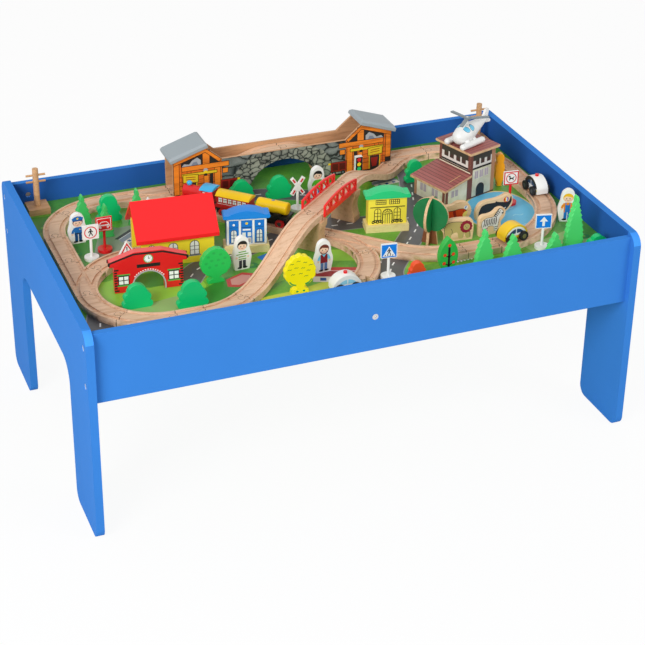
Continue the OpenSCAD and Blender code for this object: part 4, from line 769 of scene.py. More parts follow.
# Block houses: a painted wall block under a painted moulded roof, on a base of pale bare wood; the
# blue one has white pillars and panels, the yellow one a front drawn in black lines.
inks.update(uniform=(28, 112, 190), house_pane=(252, 234, 84))
house_blue = painted("house_blue", (24, 120, 212), rough=0.32)
house_yellow = painted("house_yellow", (252, 234, 76), shine=0.3)
dress("house_blocks", [house_blue, house_yellow], 0.8, lambda spot, normal: spot.x > 0)
dress("block_house_bases", sawn("pale_base", (246, 226, 158), (228, 200, 120)), 0.8)
dress("blue_house_roof", painted("roof_blue", (30, 136, 226), rough=0.4, shine=0.25), 1.6)
dress("green_house_roof", painted("roof_mint", (44, 208, 130), rough=0.4, shine=0.25), 1.6)
house_half, house_foot, door_spring = 11, 359, 21
for yaw in (-13.0, 167.0):
    front = Sheet((-135, -25), yaw, house_half, house_foot)
    front.bar("white", -35.3, 48.4, 35.3, 51.8)
    front.bar("white", -35.3, 0.2, 35.3, 2.4)
    for u in (-33.4, -12, 12, 33.4):
        front.bar("white", u - 1.9, 0.4, u + 1.9, 50)
        front.bar("slate", u + 1.9, 3, u + 2.5, 48)
    for u in (-22.7, 22.7):
        arched_window(front, u, 5.5, 4.8, 24, "uniform_dark", "pane")
        front.disc("white", u, 40, 2.2)
        front.line("uniform_dark", [(u - 8, 34.6), (u + 8, 34.6)], 0.9)
    front.disc("lamp_yellow", 0, 42, 2.4)
    front.bar("uniform_dark", -9.6, 33.4, 9.6, 35.2)
    front.bar("white", -7, 28, 7, 31.4)
    for u in (-4.8, 4.8):
        front.bar("pane", u - 3, 16.5, u + 3, 24.5)
        front.bar("pane", u - 3.4, 3.2, u + 3.4, 14)
        front.bar("shutter", u - 2.2, 5, u + 2.2, 12.4, 2)
for yaw in (-12.0, 168.0):
    front = Sheet((131, -35), yaw, house_half, house_foot)
    front.bar("black", -32, 33.2, 32, 35)
    for u in (-12.4, 12.4):
        front.bar("black", u - 9.8, 39.4, u + 9.8, 48.8)
        for column in range(5):
            left = u - 8.9 + column * 3.7
            for row in (40.5, 44.5):
                front.bar("house_pane", left, row, left + 2.5, row + 3, 2)
    for u in (-18, 18):
        arched_window(front, u, 9, 5.4, 22, "black", "house_pane", "black")
        for k in range(5):
            front.disc("black", u - 8 + k * 4, 4.2 + 1.6 * (k % 2), 2.9, 2.6, 4 + 0.4 * k)
            front.disc("house_pane", u - 8 + k * 4, 4.6 + 1.6 * (k % 2), 1.2, 1.0, 6.4)
    for ink, grow, layer in (("black", 1.6, 1), ("house_pane", 0.0, 2)):
        front.arch(ink, 0, 0.5, 8 + grow, door_spring, 10, layer)
    for spoke in (30, 60, 90, 120, 150):
        front.line("black", [polar(0, door_spring, spoke, radius) for radius in (2.6, 8)], 1.0, 3)
    front.bar("black", -8, 19.6, 8, 21, 3)
    for u in (-4, 0, 4):
        front.bar("black", u - 0.5, 1, u + 0.5, 20, 3)
press("house_print")


# Telegraph poles: round beech posts on square feet, with two thin dowels through each for cross-arms,
# all left bare; one stands in each back corner.
dress("telegraph_poles", sawn("pole_beech", (206, 160, 114), (172, 126, 84), 90), 0.8)


# Trees: outlines sawn from thick board, sanded round and dipped in gloss paint, some with a print;
# one tree is two thin boards slotted crosswise, its sawn edges bare.
def cut_boards(name, stands_for, finishes, edge, boards, rim_kind=None):
    """Boards sawn to an outline with rounded edges: place, angle, thickness, outline and finish of each.

    The sawn rims have their board's finish, or one of their own."""
    corners, faces, kinds = [], [], []
    for place, yaw, thick, outline, kind in boards:
        first, count = len(corners), len(outline)
        for out in (thick / 2, -thick / 2):
            corners += [[c / 1000 for c in Sheet(place, yaw, out).point(u, v, 0)] for u, v in outline]
        front_ring, back_ring = range(first, first + count), range(first + count, first + 2 * count)
        faces += [list(front_ring), list(reversed(back_ring))]
        for k in range(count):
            after = (k + 1) % count
            faces.append([front_ring[k], back_ring[k], back_ring[after], front_ring[after]])
        kinds += [kind] * 2 + [kind if rim_kind is None else rim_kind] * count
    piece = shaped(name, corners, faces, finishes)
    piece.data.polygons.foreach_set("material_index", kinds)
    round_edges(piece, edge)
    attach(piece, "table")
    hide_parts(stands_for)


def mirrored(half):
    """The left half of an outline from its right half."""
    return [(-u, v) for u, v in reversed(half)]


def both_sides(half, top, steps=5):
    """A smooth outline from its right half, over the top and down again."""
    return sweep(half + [(0, top)] + mirrored(half), steps)


def fir(wide, high, notch=2.4):
    """A slender crown whose tiers step in on the way up, with a round tip."""
    tiers = max(5, round(high / 10))
    right = [(wide / 2, 0)]
    for tier in range(1, tiers):
        half, rise = wide / 2 * (1 - (tier / tiers) ** 1.8), high * tier / tiers
        right += [(max(2.4, half - notch), rise - 1.6), (max(2.8, half), rise)]
    tip = both_sides([right[-1], (2.2, high * 0.965)], high, 3)
    return right[:-1] + tip + mirrored(right[:-1])


def leafy(wide, high, scallops, depth):
    """A leaf crown, fuller below, with a scalloped edge, on a trunk with a broad foot."""
    crown, start, sweep_of, steps = [], -66, 312, 8
    for k in range(steps * scallops + 1):
        angle = start + sweep_of * k / (steps * scallops)
        dent = depth * (1 - abs(math.sin(math.pi * k / steps)))
        half = wide / 2 * (1 - 0.1 * math.sin(math.radians(angle)))
        crown.append(polar(0, high * 0.59, angle, half - dent, high * 0.41 - dent))
    trunk = [(-0.11, 0.16), (-0.26, 0.09), (-0.28, 0), (0.28, 0), (0.26, 0.09), (0.11, 0.16)]
    return crown + [(wide * u, high * v) for u, v in trunk]


amber = both_sides([(4.6, 0), (5, 8), (8.6, 15), (9.2, 24), (8.4, 32), (9.0, 38), (8.2, 44), (6.2, 49),
                    (7.2, 54), (7.2, 59.5), (5, 64.6)], 67)
coral = both_sides([(15.4, 0), (16.2, 4), (13.8, 8), (14.4, 12.4), (11, 16.6), (10.0, 21), (6.4, 25.2)], 27)
spear = [(math.sqrt(45.4 ** 2 - (v - 28.2) ** 2) - 27.9, v) for v in range(0, 64, 4)]
spear += [(0, 64)] + mirrored(spear)
firs = ((-384, 164, 34, 62), (-356, 108, 31, 64), (-288, 139, 33, 70), (240, -217, 36, 64),
        (295, -220, 35, 46), (374, -228, 34, 40), (419, -214, 38, 100))
# Painted shade: the firs on the left take a darker copy of the same green.
cut_boards("fir_boards", "conifers", [painted(name, colour, shine=0.3) for name, colour in (
    ("conifer_green", (84, 224, 118)), ("conifer_painted_shade", (70, 194, 100)))], 1.4, [
    ((x, y), 0, 12, fir(wide, high), int(x < 0)) for x, y, wide, high in firs])
dress("bushes", painted("bush_green", (12, 194, 114), shine=0.3), 2.0)
tree_paints = [painted(name, colour, shine=0.3) for name, colour in (
    ("leaf_green", (42, 196, 88)), ("lemon_paint", (255, 236, 20)), ("amber_paint", (248, 168, 26)),
    ("coral_paint", (246, 88, 44)), ("spear_green", (52, 184, 74)))]
cut_boards("leaf_tree_boards", "leaf_trees", tree_paints, 1.2, [
    ((-224, -121), 0, 12, leafy(54, 66, 13, 1.0), 0), ((-102, -205), 0, 12, leafy(56, 72, 11, 1.8), 1),
    ((408, 60), -10, 12, amber, 2), ((110, -220), 0, 12, coral, 3), ((168, -219), 0, 12, spear, 4)])
trunk_top = 0.3715
crown = Finish("slot_tree_print", coat_weight=0.1)
spot = crown.place()
height = crown.axes(spot)[2]
leaves = crown.blend(rgb(4, 108, 58), rgb(10, 132, 72), crown.noise(spot, 90.0))
bark = crown.blend(rgb(112, 62, 34), rgb(146, 88, 52), crown.noise(crown.place((160, 160, 8)), 1.0))
crown.feed("Base Color", crown.blend(bark, leaves, height > trunk_top))
crown.feed("Roughness", 0.4 + 0.1 * crown.noise(spot, 200.0))
middle, radius, slot = 57, 33, 2.7
half_tree = [(15, 0)] + arc(0, middle, radius, radius, -70, 85, 31)
over_half = half_tree + [(slot, middle + radius - 0.1), (slot, middle)]
under_half = [(slot, middle), (slot, 0)] + half_tree
under_tree = under_half + [(0, middle + radius)] + mirrored(under_half)
cut_boards("slot_tree_boards", "slot_tree", [ply, crown.material], 0.3, [
    ((182, -116), 46, 5, over_half + mirrored(over_half), 1), ((182, -116), 136, 5, under_tree, 1)], 0)
inks.update(leaf_dark=(26, 160, 76), leaf_spot=(34, 178, 80), twig=(40, 120, 50), berry=(236, 64, 34))
for yaw in (0.0, 180.0):
    leafy_tree = Sheet((-224, -121), yaw, 6)
    for u, v in ((-14, 52), (-4, 58), (8, 54), (16, 46), (-18, 40), (-8, 44), (4, 44), (12, 36), (-12, 32),
                 (0, 34)):
        leafy_tree.disc("leaf_spot", u, v, 3.0, 2.3)
    lemon = Sheet((-102, -205), yaw, 6)
    for u, v in ((-16, 58), (-4, 62), (8, 58), (18, 52), (-20, 48), (-8, 50), (4, 48), (14, 42),
                 (-14, 38), (0, 38), (10, 32)):
        squiggle = [(u - 3.4, v - 0.8), (u - 1, v + 0.8), (u + 1.4, v - 0.4), (u + 3.6, v + 0.6)]
        lemon.line("twig", sweep(squiggle, 3), 0.9)
    for side in (-1, 1):
        lemon.line("leaf_dark", sweep([(side * 8, 17), (side * 15, 19.5), (side * 20, 25)][::side], 4), 2.2)
        lemon.disc("leaf_dark", side * 6, 4.4, 2.4, 1.8)
    leaf = Sheet((168, -219), yaw, 6)
    leaf.line("black", [(0, 0.5), (0, 46)], 4.2)
    for u, v in ((0, 50), (-8, 32), (8, 32), (-9, 16), (9, 16)):
        leaf.line("black", [(0, v - 5), (u, v)], 1.8)
        leaf.disc("berry", u, v, 3.2, layer=2)
press("tree_print")


# Signs: thin printed plates on round posts and turned feet, all painted; two stands are red, the
# rest white, and the signal is a lamp box on a short post.
white_paint = painted("white_paint", (242, 242, 238), rough=0.42)
signal, lamp_half, plate_half, plate_high = 5, 6.8, 14.5, 27
signs = ((-402, 31, 0), (-372, 54, 0), (-358, -44, 0), (-275, 108, 0), (6, 90, 0), (160, 168, 0),
         (59, -212, -8), (390, -21, -6), (362, -203, -14))


def nearest(spot, places):
    """Which of the places a face belongs to."""
    return min(range(len(places)), key=lambda i: math.hypot(spot.x - places[i][0], spot.y - places[i][1]))


dress("sign_stands", [white_paint, red], 0.8, lambda spot, normal: nearest(spot, signs) in (1, 7))
dress("sign_plates", [white_paint, red], 0.4, lambda spot, normal: nearest(spot, signs) == 1)
inks.update(signal_red=(220, 28, 40), lamp_green=(24, 190, 110))


def walker(sheet, u, v, size, layer):
    """A plain walking figure."""
    sheet.disc("black", u, v + 6.2 * size, 1.5 * size, layer=layer)
    sheet.line("black", [(u, v + 4.6 * size), (u, v)], 2.6 * size, layer)
    for limb in ([(-0.6, 4.2), (-2.8, 2.4), (-3.0, 0.6)], [(0.6, 4.2), (2.4, 2.6), (3.2, 1.2)],
                 [(-0.5, 0.4), (-1.4, -2.2), (-3.0, -5.0)], [(0.5, 0.4), (1.6, -2.2), (3.0, -5.0)]):
        sheet.line("black", [(u + a * size, v + b * size) for a, b in limb], 1.5 * size, layer)


def rim(sheet, ink, inset, wide, layer):
    """A frame round a plate, set in from its edge."""
    u, low, high = plate_half - inset, inset, plate_high - inset
    sheet.line(ink, [(-u, low), (u, low), (u, high), (-u, high), (-u, low)], wide, layer)


for turn_round in (0, 180):
    plates = [Sheet((x, y), yaw + turn_round, *((4, 366) if i == signal else (2, 385)))
              for i, (x, y, yaw) in enumerate(signs)]
    plates[0].band("signal_red", 0, 13.5, 9.8, 11.6)
    walker(plates[0], 0, 12.4, 1.15, 2)
    rim(plates[1], "white", 2.4, 1.1, 1)
    cab_line = [(9, 8), (9.4, 11.4), (7.4, 15), (4, 18)]
    plates[1].line("white", sweep(mirrored(cab_line)[::-1] + cab_line[::-1], 4), 1.3)
    plates[1].line("white", [(-8.6, 11.6), (8.6, 11.6)], 2.6)
    for u in (-6.6, 6.6):
        plates[1].disc("white", u, 7.6, 2.0)
    for plate in plates[2:4]:
        for ink, size, layer in (("signal_red", 0.80, 1), ("white", 0.52, 2)):
            foot = 8.4 - 8.4 * size
            plate.fill(ink, [(-plate_half * size, foot), (plate_half * size, foot), (0, 8.4 + 16.7 * size)],
                       layer)
        plate.line("black", [(0, 8.2), (0, 14.0)], 1.9, 3)
        plate.disc("black", 0, 6.2, 1.1, layer=3)
    for tilt in (125, 55):
        for end in (-1, 1):
            arm = [polar(0, 9.7, tilt, end * reach) for reach in (9.5, 17.5)]
            plates[4].line("signal_red", arm[::end], 3.4)
    plates[signal].bar("black", -lamp_half, 1, lamp_half, 31)
    for v, ink in ((25.4, "signal_red"), (16, "lamp_yellow"), (6.6, "lamp_green")):
        plates[signal].disc(ink, 0, v, 4.0, layer=2)
    plates[6].bar("sign_blue", -13.2, 1.3, 13.2, 25.7)
    plates[6].fill("white", [(-11.6, 3.4), (11.6, 3.4), (0, 22.6)], 2)
    walker(plates[6], 0, 11.6, 0.95, 3)
    for u in (-6.6, -2.2, 2.2, 6.6):
        plates[6].fill("black", [(u - 1.6, 4.2), (u + 0.2, 4.2), (u + 1.4, 6.4), (u - 0.4, 6.4)], 3)
    rim(plates[7], "signal_red", 1.2, 2.2, 1)
    plates[7].band("signal_red", 0, 13.5, 8.6, 10.4, layer=2)
    plates[7].fill("black", [(-3.6, 9.2), (-2.2, 9.2), (-1.6, 11.6), (2.6, 11.6), (3.2, 9.2), (4.6, 9.2),
                             (4.4, 13.6), (6.2, 16.2), (5.2, 16.8), (3.4, 14.6), (-1.4, 14.4), (-2.0, 18.6),
                             (-3.4, 19.4), (-6.2, 17.4), (-5.8, 16.2), (-3.8, 16.2)], 3)
    plates[8].bar("sign_blue", -13.2, 1.3, 13.2, 25.7)
    plates[8].fill("white", [(-2.2, 4.4), (2.2, 4.4), (2.2, 13.6), (7.6, 13.6), (0, 22.8), (-7.6, 13.6),
                             (-2.2, 13.6)], 2)
press("sign_print")


# Figures: standing boards of thick plywood with rounded outlines, painted white, with a small person
# printed on each face inside a broad white margin.
inks.update(skin=(252, 216, 188), blush=(240, 150, 140), hair_brown=(112, 48, 34), hair_blond=(250, 196, 40),
            navy=(46, 50, 64), stripe_green=(104, 172, 48), vest=(140, 28, 40), jeans=(88, 128, 184),
            shirt_green=(92, 190, 40), trouser_blue=(28, 120, 206), shirt_sky=(120, 208, 240),
            shirt_orange=(242, 146, 40))
people = (((-409, 101), 60, 4, "hair_brown", "uniform", "uniform_dark"),
          ((-167, -93), 65, 4, "black", "white", "navy"),
          ((-38, -151), 63, 4, "hair_brown", "shirt_sky", "jeans"),
          ((61, 133), 63, 4, "black", "shirt_green", "trouser_blue"),
          ((456, -122), 66, -20, "hair_blond", "shirt_orange", "trouser_blue"))
bell = [(13.4, 0), (14.6, 0.1), (17.4, 0.34), (17.0, 0.46), (14.0, 0.62), (12.9, 0.76), (9.6, 0.92)]
cut_boards("figure_boards", "play_figures", [painted("figure_white", (246, 246, 242), rough=0.45)], 1.2, [
    (place, yaw, 8, both_sides([(u, v * high) for u, v in bell], high), 0)
    for place, high, yaw, *_ in people])
for number, (place, high, yaw, hair, shirt, trousers) in enumerate(people):
    for turn_round in (0, 180):
        person = Sheet(place, yaw + turn_round, 4)
        head, neck = high - 18.5, high - 27
        person.disc(hair, 0, head + 1.2, 9.4, 8.8)
        person.disc("skin", 0, head - 0.8, 8.0, 7.6, 2)
        fringe = ((-8.2, 1.6), (-3.4, 4.2), (2.2, 3), (8.2, 1.6), (7, 7.2), (0, 9), (-7, 7.2))
        person.fill(hair, [(u, head + v) for u, v in fringe], 3)
        for side in (-1, 1):
            person.disc("black", side * 3.0, head - 0.6, 0.9, 1.1, 3)
            person.disc("blush", side * 5.0, head - 3.4, 1.5, 1.0, 3)
            sleeve = [(side * 5.4, neck - 1.6), (side * 9.4, neck - 7), (side * 10.6, neck - 12)]
            person.line(shirt, sleeve[::side], 4.4)
            person.disc("skin", side * 10.8, neck - 13.4, 2.1, layer=2)
            person.bar(trousers, side * 0.7, 5, side * 6.4, 21)
            person.disc("black", side * 5.0, 4.6, 4.4, 1.9, 2)
        person.line("tile", sweep([(-2.4, head - 4), (0, head - 5), (2.4, head - 4)], 3), 0.9, 3)
        person.fill(shirt, [(-6.8, 19), (6.8, 19), (7.4, neck - 4), (5.2, neck), (-5.2, neck),
                            (-7.4, neck - 4)], 2.4)
        if number == 0:
            cap = ((-9.2, 4), (9.2, 4), (10.6, 8.8), (5.6, 11.8), (0, 12.6), (-5.6, 11.8), (-10.6, 8.8))
            person.fill("uniform", [(u, head + v) for u, v in cap], 4)
            person.bar("uniform_dark", -9.2, head + 3, 9.2, head + 5.2, 5)
            person.disc("lamp_yellow", 0, head + 8, 1.8, layer=5)
            person.disc("lamp_yellow", 3.4, neck - 5, 1.1, layer=3)
            person.bar("black", -6.8, 19.4, 6.8, 21.2, 3)
        if number == 1:
            for v in range(4):
                person.bar("stripe_green", -7.2, 20.4 + v * 4.6, 7.2, 22.4 + v * 4.6, 3)
            for side in (-1, 1):
                person.bar("stripe_green", side * 7.2, neck - 8.4, side * 11.4, neck - 6.6, 3.4)
        if number == 2:
            person.band("hair_brown", 0, head - 0.8, 6.4, 8.4, 200, 340, 4)
            collar = [(6.6, neck - 1), (4, neck), (0, neck - 6), (-4, neck), (-6.6, neck - 1)]
            person.fill("vest", [(-6.8, 19), (6.8, 19)] + collar, 3)
        if number == 4:
            person.bar("trouser_blue", -4.6, 19, 4.6, neck - 5, 3)
            for side in (-1, 1):
                person.bar("trouser_blue", side * 2.8, neck - 5, side * 4.4, neck, 3)
press("figure_print")


# Animals: boards of pale plywood sawn with a broad margin and left bare, each with one animal printed
# in few colours on both faces.
pale_ply = sawn("animal_board", (238, 204, 160), (212, 170, 124))
animals = {
    "dog": ((253, -62), -8, [
        (8, 0), (17, 5.5), (26.5, 10.5), (32.5, 20), (33, 30), (29.5, 38), (21, 44.6), (10, 46), (3, 44.4),
        (-3, 40.5), (-14, 39), (-26, 38), (-32, 32), (-33, 16), (-31, 0)]),
    "bulk": ((337, -58), 8, [
        (17, 0), (20, 3.2), (30, 8), (39, 17), (40, 26), (38.6, 35), (33, 40), (25, 40.5), (14, 37.5),
        (0, 36), (-18, 36.6), (-32, 33), (-39, 22), (-40, 9), (-38, 0)]),
    "lion": ((231, -122), -6, [
        (30, 0), (31, 12), (31, 30), (27.5, 40), (18, 43), (4, 44), (-10, 43.5), (-22, 40), (-30, 35),
        (-31, 26), (-26, 19), (-23, 10), (-23, 0)]),
    "zebra": ((301, -120), 6, [
        (20, 0), (20, 12), (19, 22), (24, 28), (27.4, 36), (26, 46), (18, 50), (9, 48.5), (2, 43),
        (-8, 41), (-20, 41), (-26.4, 35), (-27.4, 20), (-26, 0)])}
cut_boards("animal_cutouts", "animal_boards", [pale_ply], 0.8, [
    (place, yaw, 9, sweep(outline, 4), 0) for place, yaw, outline in animals.values()])
inks.update(fox=(224, 72, 28), collar=(150, 26, 24), cream=(250, 226, 120), coal=(34, 34, 36),
            khaki=(188, 172, 108), mane=(142, 26, 52), zebra=(232, 230, 226), ball_blue=(40, 120, 210))


class AnimalSheet(Sheet):
    """The printed face of an animal's board; the back's print is the front's, seen through the board."""

    def __init__(self, kind, flip):
        place, yaw, _ = animals[kind]
        super().__init__(place, yaw if flip == 1 else yaw + 180, 4.5, flip=flip)

    def shape(self, ink, outline, layer=1, steps=4):
        self.fill(ink, sweep(outline, steps, True), layer)

    def stroke(self, ink, points, width, layer=1):
        self.line(ink, sweep(points, 4), width, layer)

    def dot(self, ink, u, v, wide, layer=1):
        self.disc(ink, u, v, wide, layer=layer)


for flip in (1, -1):
    dog, bulk, lion, zebra = (AnimalSheet(kind, flip) for kind in animals)
    zebra.foot += 2.6
    coat = [(-30, 6), (-30, 20), (-28, 27), (-14, 27.6), (0, 28.6), (8, 30.4), (16, 30.8), (22, 28),
            (25, 22), (20, 14), (12, 9.6), (4, 9), (0, 4.6), (-6, 4.6), (-8, 8.4), (-16, 8.4), (-18, 4),
            (-26, 4)]
    dog.shape("bars", [(u * 1.03, 0.4 + v * 1.02) for u, v in coat])
    dog.shape("fox", coat, 2)
    dog.stroke("collar", [(0.5, 28.6), (2, 20), (5, 10.6)], 5.0, 3)
    dog.shape("cream", [(17, 17), (21, 14.6), (25.4, 21), (26.2, 26), (22, 26), (18, 22)], 3)
    for u, v in ((-22, 5.4), (-2, 6)):
        dog.stroke("cream", [(u - 3, v), (u + 3, v)], 3.0, 3)
    dog.dot("white", 22.5, 33.6, 3.8, 3)
    dog.stroke("ball_blue", [(20.6, 32), (22.4, 34), (22.8, 37)], 1.8, 4)
    dog.dot("black", 18, 26.6, 1.0, 4)
    bulk.shape("coal", [(-36, 9), (-34, 20), (-29, 28), (-18, 31), (-1, 29.4), (3, 31.4), (7, 29.4),
                        (17, 27), (27, 25), (32.4, 27), (34.4, 33.6), (36.6, 33.8), (37.4, 24), (30, 13),
                        (20, 7.4), (11, 6), (6, 12), (0, 4.4), (-8, 4.4), (-12, 11), (-22, 11), (-27, 4.4),
                        (-35, 4.4)], 2)
    bulk.dot("pane", 2, 8.4, 3.0, 3)
    bulk.stroke("white", [(19, 14.4), (22, 13.4), (25, 14.6)], 1.6, 3)
    bulk.dot("signal_red", 25, 30.6, 5.6, 3)
    for u, ink in ((23.2, "lamp_yellow"), (25.6, "white"), (27.8, "ball_blue")):
        bulk.stroke(ink, [(u, 26.6), (u + 0.8, 30.6), (u, 34.6)], 2.0, 4)
    coat = [(-24, 22), (-21, 8), (-17, 4.4), (-12, 4.6), (-10, 14), (0, 17), (3, 6), (6, 4.4), (11, 5),
            (13, 15), (18, 5), (23, 4.4), (25, 8), (22, 22), (12, 35), (-2, 38), (-14, 37.6), (-22, 33)]
    lion.shape("bars", [(u * 1.04, 0.2 + v * 1.02) for u, v in coat])
    lion.shape("khaki", coat, 2)
    lion.stroke("bars", [(-22, 33), (-26, 34), (-27.6, 31), (-25, 28.6)], 1.8, 3)
    lion.stroke("bars", [(-12, 26), (-9, 20), (-10, 14)], 0.8, 3)
    for tuft in range(12):
        lion.dot("mane", *polar(17, 27, 30 * tuft, 8.8, 9.4), 3.2, 3 + 0.4 * (tuft % 2))
    lion.dot("mane", 17, 27, 9.6, 4)
    lion.dot("khaki", 18, 26.6, 6.2, 5)
    for u in (15.8, 20.4):
        lion.dot("black", u, 28, 0.8, 6)
    lion.shape("bars", [(16.8, 25), (19.4, 25), (18.1, 23.2)], 6, 2)
    for ink, grow, layer in (("bars", 0.9, 1), ("zebra", 0.0, 2)):
        zebra.shape(ink, [(-22 - grow, 20), (-17, 4.4 - grow), (-11, 5), (-9, 15 - grow), (3, 14 - grow),
                          (5, 4.6 - grow), (11, 5), (13 + grow, 18), (16, 30), (22 + grow, 35),
                          (22 + grow, 40), (15, 46 + grow), (9, 40 + grow), (2, 32 + grow), (-12, 32 + grow),
                          (-20, 28 + grow)], layer)
    for k in range(8):
        u = k * 3.6
        zebra.stroke("coal", [(u - 18, 18 - abs(k - 3.5) * 0.6), (u - 16.4, 24), (u - 17.4, 30)], 1.7, 3)
    for k in range(4):
        zebra.stroke("coal", [(4 + k * 2.6, 34 + k * 2.6), (9 + k * 2.2, 30.6 + k * 2.2)], 1.5, 3)
    for u in (-15, -11, 6.6, 10):
        for v in (7, 11):
            zebra.stroke("coal", [(u - 2, v), (u + 1.8, v + 0.4)], 1.3, 3)
    zebra.stroke("coal", [(3, 33), (9, 41), (14, 47)], 2.0, 3)
    zebra.stroke("coal", [(19.6, 35.6), (22, 37.4)], 3.0, 3)
    zebra.dot("black", 16, 41.6, 0.9, 4)
press("animal_print")


# Train: turned and sawn beech, painted; the engine and the coach are red with a blue and a yellow roof,
# the tank is yellow on a black saddle. All three run on red wheels with dark hubs.
black_paint = painted("black_paint", (30, 30, 32), rough=0.45, shine=0.3)
coach_red = painted("coach_red", (196, 26, 32))
wheel_red = painted("wheel_red", (206, 30, 36), rough=0.34)
hub_dark = painted("hub_dark", (66, 60, 56), rough=0.5)
chassis_top, sill = 372.4, 377.3
dress("engine_body", [red, black_paint], 0.8, lambda spot, normal: spot.z < chassis_top)
dress("engine_trim", painted("sky_blue_paint", (62, 182, 236), rough=0.34), 0.8)
dress("coach_body", [coach_red, black_paint], 0.6, lambda spot, normal: spot.z < chassis_top)
train_yellow = painted("train_yellow", (255, 206, 10), shine=0.3)
dress("coach_roof", train_yellow, 0.8)
dress("tank_wagon", black_paint, 0.6)
dress("tank_barrel", train_yellow, 0.4)


def dress_wheels(name, heading, tread, hub, hub_radius):
    """Tread and hub paints of a wheelset whose axle lies across its heading."""
    low, high = (Vector(corner) * 1000 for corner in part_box(name))
    middle = (low + high) / 2
    ahead_of = Vector((*polar(0, 0, heading, 1), 0))

    def on_hub(spot, normal):
        return math.hypot((spot - middle).dot(ahead_of), spot.z - middle.z) < hub_radius
    dress(name, [tread, hub], 0.3, on_hub)


def on_line(distance):
    """A place so many mm up the line that the train stands on, to the back left at 45 degrees."""
    return 14.63 - distance * 0.70711, -40.285 + distance * 0.70711


for wagon in ("engine", "coach", "tank"):
    for end in ("front", "rear"):
        dress_wheels(f"{wagon}_{end}_wheels", 135, wheel_red, hub_dark, 4.0)
for yaw in (-45, 135):
    coach = Sheet(on_line(184), yaw, 14, sill)
    for k in range(6):
        u = -27.6 + k * 9.6
        coach.bar("white", u, 5.6, u + 7.2, 14.2)
        coach.bar("cart_dark", u, 10.6, u + 7.2, 11.4, 2)
        coach.bar("cart_dark", u + 3.3, 5.6, u + 3.9, 10.6, 2)
    coach.line("white", [(-30, 2.6), (30, 2.6)], 0.9)
press("coach_print", "coach")
for yaw, flip in ((-45, 1), (135, -1)):
    cab, window = Sheet(on_line(259), yaw, 15, sill, flip=flip), 22
    cab.bar("white", window - 6.4, 9, window + 6.4, 19)
    for pane in (window - 5.2, window + 0.5):
        cab.bar("shallow", pane, 10.2, pane + 4.7, 17.8, 2)
    cab.line("lamp_yellow", [(window - 8, 4), (window + 8, 4)], 1.4)
press("cab_print", "engine")
tank_top = 401.3
Sheet(on_line(108), 135, foot=tank_top, flat=True).disc("slate", 0, 0, 3.2)
press("tank_print", "tanker")


# Cars: bodies sawn to an arch from thick beech and painted, with printed sides, black wheels and, on two
# of them, a red beacon let into the roof.
car_yellow = painted("car_yellow", (250, 204, 30), rough=0.34)
tyre = painted("tyre_black", (28, 28, 30), rough=0.5, shine=0.3)
hub_olive = painted("hub_olive", (120, 112, 62), rough=0.45)
hub_grey = painted("hub_grey", (70, 70, 72), rough=0.45)
inks.update(glass_navy=(44, 70, 104), headlamp=(246, 224, 96))
on_track, on_board, middle_rise, roof_rise, beacon_radius = 357.3, 345.3, 4, 31.6, 3.7


def window_arch(sheet, ink, radius, low, layer):
    """A part of a car's side that follows its arch, above a level line."""
    rise = math.degrees(math.asin((low - middle_rise) / radius))
    sheet.fill(ink, arc(0, middle_rise, radius, radius, rise, 180 - rise, 16), layer)


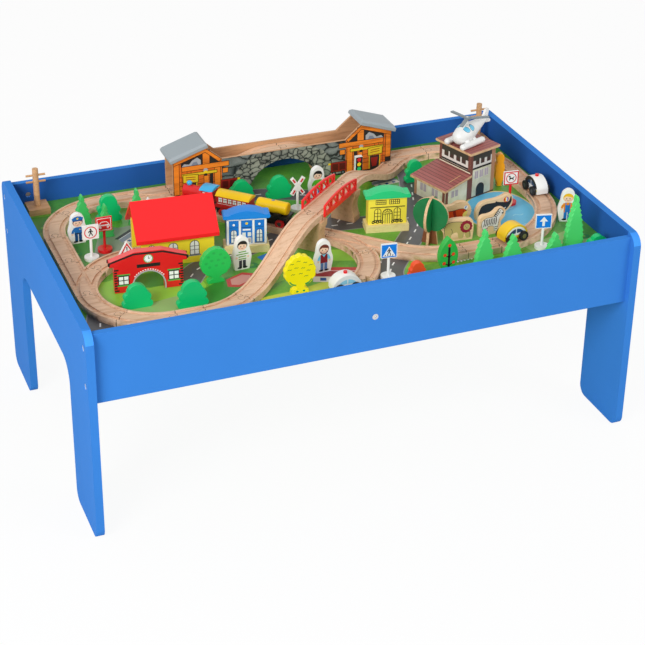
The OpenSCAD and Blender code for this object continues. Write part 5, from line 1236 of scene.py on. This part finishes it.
for body, name, place, heading, stands_on, paint, hub in (
        ("patrol", "patrol", (450, -12), -90, on_track, white_paint, hub_grey),
        ("saloon", "yellow_car", (316.48, -173.97), 11, on_track, car_yellow, hub_olive),
        ("rescue", "rescue", (-26, -224), 0, on_board, white_paint, hub_grey)):
    car_node = name if name == "yellow_car" else f"{name}_car"

    def on_beacon(spot, normal):
        aside = math.hypot(spot.x - place[0], spot.y - place[1])
        return body != "saloon" and spot.z > stands_on + roof_rise and aside < beacon_radius

    dress(car_node, [paint, red], 0.8, on_beacon)
    for end in ("front", "rear"):
        dress_wheels(f"{name}_{end}_wheels", heading, tyre, hub, 4.2)
    for side in (0, 180):
        door = Sheet(place, heading + side, 11.5, stands_on)
        if body == "saloon":
            window_arch(door, "white", 24.4, 12, 1)
        if body == "patrol":
            window_arch(door, "coal", 27.2, 16, 1)
        window_arch(door, "glass_navy" if body != "rescue" else "shallow", 20.6, 16, 2)
        door.bar("white", -0.9, 15.6, 0.9, 25.4, 3)
        for u in (-24.4, 21.4):
            door.bar("headlamp" if u > 0 else "signal_red", u, 10.4, u + 3, 13.2, 3)
        door.line("bars", [(-5, 7), (5, 7)], 0.8, 3)
    press(f"{name}_print", body)


# Helicopter: turned from one piece with a raised tail, on two floats, painted white, with blue windows;
# its grey rotor turns on a mast.
white_gloss = Finish("helicopter_white", coat_weight=0.2, coat_roughness=0.2)
copter_x, copter_y, copter_z, copter_yaw = 0.332, 0.063, 0.4423, 203
heading = math.radians(copter_yaw)
spot = white_gloss.place((1, 1, 1), -copter_yaw)
along_body, beside_body, above_body = white_gloss.axes(spot)
along_body = along_body - (math.cos(heading) * copter_x + math.sin(heading) * copter_y)
beside_body = beside_body - (math.cos(heading) * copter_y - math.sin(heading) * copter_x)
above_body = above_body - copter_z
on_sides = abs(beside_body) > 0.005
paint_tone = white_gloss.blend(rgb(232, 232, 230), rgb(246, 246, 244), white_gloss.noise(spot, 30.0))
for at, rise, wide, high, glass in ((0.0080, 0.0335, 0.0046, 0.0040, (96, 190, 226)),
                                    (-0.0045, 0.0345, 0.0048, 0.0042, (120, 204, 236))):
    for shade, grow in (((70, 84, 96), 1.14), (glass, 1.0)):
        ahead_by, up_by = (along_body - at) / (wide * grow), (above_body - rise) / (high * grow)
        in_window = ahead_by * ahead_by + up_by * up_by < 1.0
        paint_tone = white_gloss.blend(paint_tone, rgb(*shade), in_window * on_sides)
white_gloss.feed("Base Color", paint_tone)
white_gloss.feed("Roughness", 0.34 + 0.08 * white_gloss.noise(spot, 60.0))
white_gloss.bump(white_gloss.noise(spot, peel_scale, 2.0), peel_depth, 0.04)
dress("helicopter", white_gloss.material, 0.5)
dress("helicopter_rotor", painted("rotor_grey", (128, 138, 144), rough=0.4), 0.5)
